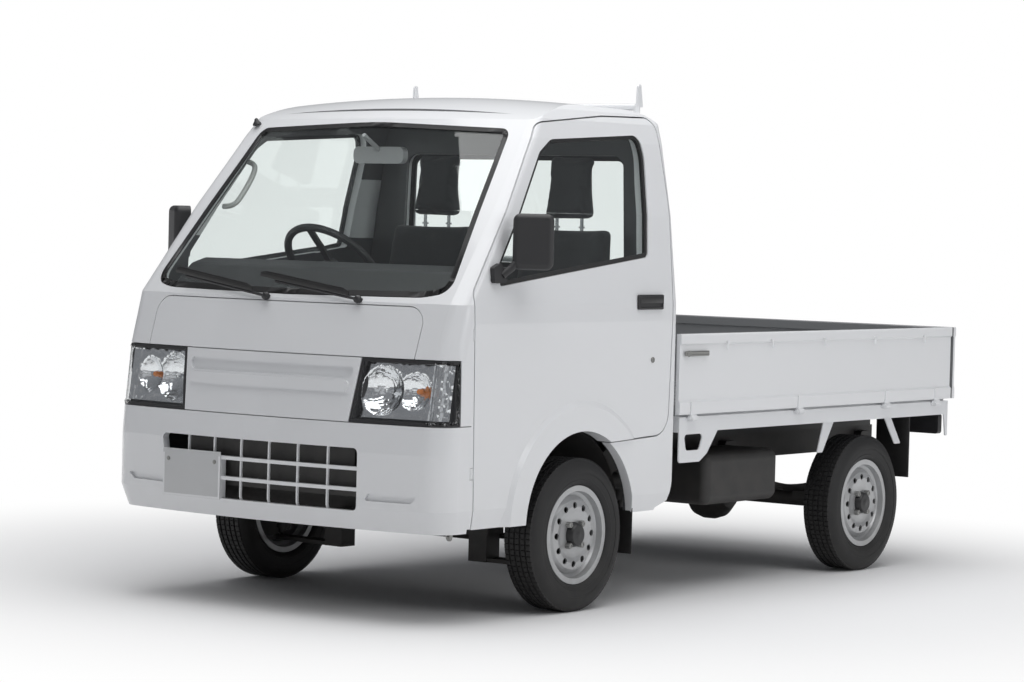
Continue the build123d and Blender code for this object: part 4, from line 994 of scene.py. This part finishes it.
# Mud flaps: sheet rubber hung from the bed's last bearer behind each rear wheel,
# and screwed over the wheel housing's own flap behind each front wheel.
for end, flap_centre, flap_size in (
    # which end, centre, size
    ("rear", (0.641, 1.352, 0.466), (0.150, 0.006, 0.240)),
    ("front", (0.641, -0.5586, 0.256), (0.160, 0.004, 0.160)),
):
    flap = block("mud_flap", flap_centre, flap_size, 0.0015, 2)
    pick_faces(flap, lambda face: abs(face.normal.y) > 0.95)
    bpy.ops.mesh.inset(thickness=0.010, depth=0.001, use_individual=True)
    settle(flap, 30.0)
    set_material(flap, seal_rubber)
    fit_pair(flap, "mud_flap_" + end, "chassis")

# Gate latches: a zinc-plated lever and hasp at the front end of each side gate,
# which hook over the guard frame's post.
latch_centre, latch_size = (0.7280, -0.190, 0.866), (0.006, 0.150, 0.018)
latch_bolt_centre = (0.7290, -0.248, 0.866)
latch = block("gate_latch", latch_centre, latch_size, 0.0022, 3)
pick_faces(latch, lambda face: face.normal.x > 0.95)
bpy.ops.mesh.inset(thickness=0.003, depth=0.001)
settle(latch, 30.0)
set_material(latch, zinc_plate)
latch_bolt = spun_ring(
    "latch_bolt",
    ((0.0, 0.0004), (0.0, 0.011), (0.0045, 0.011), (0.0055, 0.0095), (0.0055, 0.0004)),
    24,
)
latch_bolt.data.transform(Matrix.Translation(latch_bolt_centre))
settle(latch_bolt, 30.0)
set_material(latch_bolt, zinc_plate)
fit_pair(latch, "gate_latch", "gate")
fit_pair(latch_bolt, "latch_bolt", "gate")

# Grab handle: a bent plastic-covered steel rod screwed inside the windscreen
# pillar on the driver's side.
grab_white, tree, shader = new_material("grab_white", (0.62, 0.62, 0.61), 0.45)
add_grain(tree, shader, 500.0, 0.15)


def bent_rod(name, route, radius, material, sides=4):
    line = bpy.data.curves.new(name, "CURVE")
    line.dimensions = "3D"
    line.bevel_depth = radius
    line.bevel_resolution = sides
    line.use_fill_caps = True
    run = line.splines.new("NURBS")
    run.points.add(len(route) - 1)
    for point, spot in zip(run.points, route):
        point.co = (*spot, 1.0)
    run.order_u = 3
    run.use_endpoint_u = True
    line.resolution_u = 8
    piece = bpy.data.objects.new(name, line)
    scene.collection.objects.link(piece)
    take(piece)
    bpy.ops.object.convert(target="MESH")
    piece = bpy.context.object
    pick_faces(piece, lambda face: True)
    bpy.ops.mesh.remove_doubles(threshold=0.00001)
    bpy.ops.mesh.normals_make_consistent(inside=False)
    settle(piece, 50.0)
    set_material(piece, material)
    return piece


grab_radius = 0.0095
grab_route = (
    # x, y, z from the lower foot to the upper one
    (-0.622, -1.214, 1.345), (-0.592, -1.202, 1.345), (-0.572, -1.184, 1.370),
    (-0.562, -1.137, 1.440), (-0.566, -1.110, 1.480), (-0.580, -1.102, 1.500),
    (-0.606, -1.102, 1.505),
)
grab_handle = bent_rod("grab_handle", grab_route, grab_radius, grab_white)
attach(grab_handle, "chassis")

# Aerial: a short black rubber foot clamped to the roof at its front corner on
# the driver's side; its rod is taken off, as the photo shows none.
aerial_place, aerial_lean = (-0.590, -1.080, 1.640), math.radians(-104.0)
aerial_foot = spun_ring(
    "aerial_foot",
    ((0.0, 0.0004), (0.0, 0.016), (0.006, 0.015), (0.014, 0.009), (0.022, 0.0065), (0.026, 0.0004)),
    24,
)
aerial_foot.data.transform(Matrix.Translation(aerial_place) @ Matrix.Rotation(aerial_lean, 4, "Y"))
settle(aerial_foot, 40.0)
set_material(aerial_foot, black_trim)
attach(aerial_foot, "chassis")

# Towing eye: a thick steel ring, zinc plated, welded on under the left end of
# the bumper for lashing the truck down.
eye_centre, eye_turn = (0.655, -1.500, 0.300), math.radians(60.0)
tow_tab = spun_ring(
    "tow_tab",
    ((-0.004, 0.010), (-0.004, 0.022), (0.004, 0.022), (0.004, 0.010)),
    32,
)
tow_tab.data.transform(Matrix.Translation(eye_centre) @ Matrix.Rotation(eye_turn, 4, "Z"))
settle(tow_tab, 30.0)
set_material(tow_tab, zinc_plate)
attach(tow_tab, "chassis")

# Seats: foam pads in dark woven cloth, one cushion and one back each, with a
# loose headrest on two steel posts.
seat_cloth, tree, shader = new_material("seat_cloth", (0.055, 0.056, 0.06), 0.9)
shader.inputs["Sheen Weight"].default_value = 0.25
shader.inputs["Sheen Roughness"].default_value = 0.5
weave_where = tree.nodes.new("ShaderNodeTexCoord")
weave_up = tree.nodes.new("ShaderNodeTexWave")
weave_across = tree.nodes.new("ShaderNodeTexWave")
for wave, direction in ((weave_up, "Z"), (weave_across, "X")):
    wave.inputs["Scale"].default_value = 260.0
    wave.inputs["Distortion"].default_value = 0.6
    wave.bands_direction = direction
weave_sum = tree.nodes.new("ShaderNodeMath")
weave_sum.operation = "MAXIMUM"
weave_bump = tree.nodes.new("ShaderNodeBump")
weave_bump.inputs["Strength"].default_value = 0.35
weave_bump.inputs["Distance"].default_value = 0.0008
weave_shade = tree.nodes.new("ShaderNodeMix")
weave_shade.data_type = "RGBA"
weave_shade.inputs["A"].default_value = (0.038, 0.039, 0.042, 1.0)
weave_shade.inputs["B"].default_value = (0.075, 0.077, 0.082, 1.0)
for start, end in (
    (weave_where.outputs["Object"], weave_up.inputs["Vector"]),
    (weave_where.outputs["Object"], weave_across.inputs["Vector"]),
    (weave_up.outputs["Fac"], weave_sum.inputs[0]),
    (weave_across.outputs["Fac"], weave_sum.inputs[1]),
    (weave_sum.outputs[0], weave_bump.inputs["Height"]),
    (weave_bump.outputs["Normal"], shader.inputs["Normal"]),
    (weave_sum.outputs[0], weave_shade.inputs["Factor"]),
    (weave_shade.outputs["Result"], shader.inputs["Base Color"]),
):
    tree.links.new(start, end)
pad_voxel = 0.008
pad_rise = 0.010
pad_edge = 0.020
foam_pressure = 4.0
foam_steps = 20
seat_middle = 0.300
pad_set = (
    # name, low face (y0, y1, half width, z), high face (y0, y1, half width, z)
    ("seat_cushion", (-0.915, -0.420, 0.205, 0.712), (-0.915, -0.480, 0.212, 0.806)),
    ("seat_backrest", (-0.528, -0.408, 0.205, 0.826), (-0.436, -0.374, 0.185, 1.300)),
    ("seat_headrest", (-0.428, -0.372, 0.098, 1.330), (-0.402, -0.372, 0.096, 1.560)),
)


def padded_block(name, low, high):
    clear_selection()
    bpy.ops.mesh.primitive_cube_add(size=2.0)
    pad = bpy.context.object
    pad.name = name
    for vertex in pad.data.vertices:
        y0, y1, half, z = high if vertex.co.z > 0 else low
        vertex.co = (seat_middle + half * vertex.co.x, y1 if vertex.co.y > 0 else y0, z)
    bpy.ops.object.mode_set(mode="EDIT")
    bpy.ops.mesh.select_all(action="SELECT")
    bpy.ops.mesh.bevel(offset=pad_edge, segments=4, affect="EDGES")
    bpy.ops.object.mode_set(mode="OBJECT")
    pad.data.remesh_voxel_size = pad_voxel
    bpy.ops.object.voxel_remesh()
    before = [vertex.co.copy() for vertex in pad.data.vertices]
    cloth = pad.modifiers.new("foam", "CLOTH")
    cloth.settings.use_pressure = True
    cloth.settings.uniform_pressure_force = foam_pressure
    cloth.settings.effector_weights.gravity = 0.0
    cloth.point_cache.frame_start = 1
    cloth.point_cache.frame_end = foam_steps
    for step in range(1, foam_steps + 1):
        scene.frame_set(step)
    bpy.context.view_layer.objects.active = pad
    bpy.ops.object.modifier_apply(modifier="foam")
    for vertex, start in zip(pad.data.vertices, before):
        move = vertex.co - start
        if move.length > pad_rise:
            vertex.co = start + move.normalized() * pad_rise
    scene.frame_set(1)
    smooth = pad.modifiers.new("fine", "SUBSURF")
    smooth.levels = 1
    smooth.render_levels = 1
    bpy.ops.object.modifier_apply(modifier="fine")
    settle(pad, 60.0)
    set_material(pad, seat_cloth)
    return pad


for name, low, high in pad_set:
    pad = padded_block(name, low, high)
    for side, label in ((1.0, "left"), (-1.0, "right")):
        place = Matrix.Identity(4) if side > 0 else to_right
        new_pad = twin(pad, "%s_%s" % (name, label), place)
        if name == "seat_cushion":
            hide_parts("seat_" + label)
        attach(new_pad, "chassis")
    bpy.data.objects.remove(pad)
post_profile = (
    # along the post, radius
    (0.0, 0.0004), (0.0, 0.0062), (0.012, 0.0062), (0.012, 0.0110), (0.018, 0.0110),
    (0.018, 0.0062), (0.080, 0.0062), (0.080, 0.0004),
)
post_y, post_foot, post_off = -0.398, 1.288, 0.055
post = spun_ring("headrest_post", post_profile, 20)
settle(post, 35.0)
set_material(post, chrome)
for side, label in ((1.0, "left"), (-1.0, "right")):
    for number, off in enumerate((-post_off, post_off)):
        foot = Matrix.Translation((side * (seat_middle + off), post_y, post_foot))
        upright = foot @ Matrix.Rotation(-math.pi / 2, 4, "Y")
        new_post = twin(post, "headrest_post_%s_%d" % (label, number), upright)
        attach(new_post, "chassis")
bpy.data.objects.remove(post)
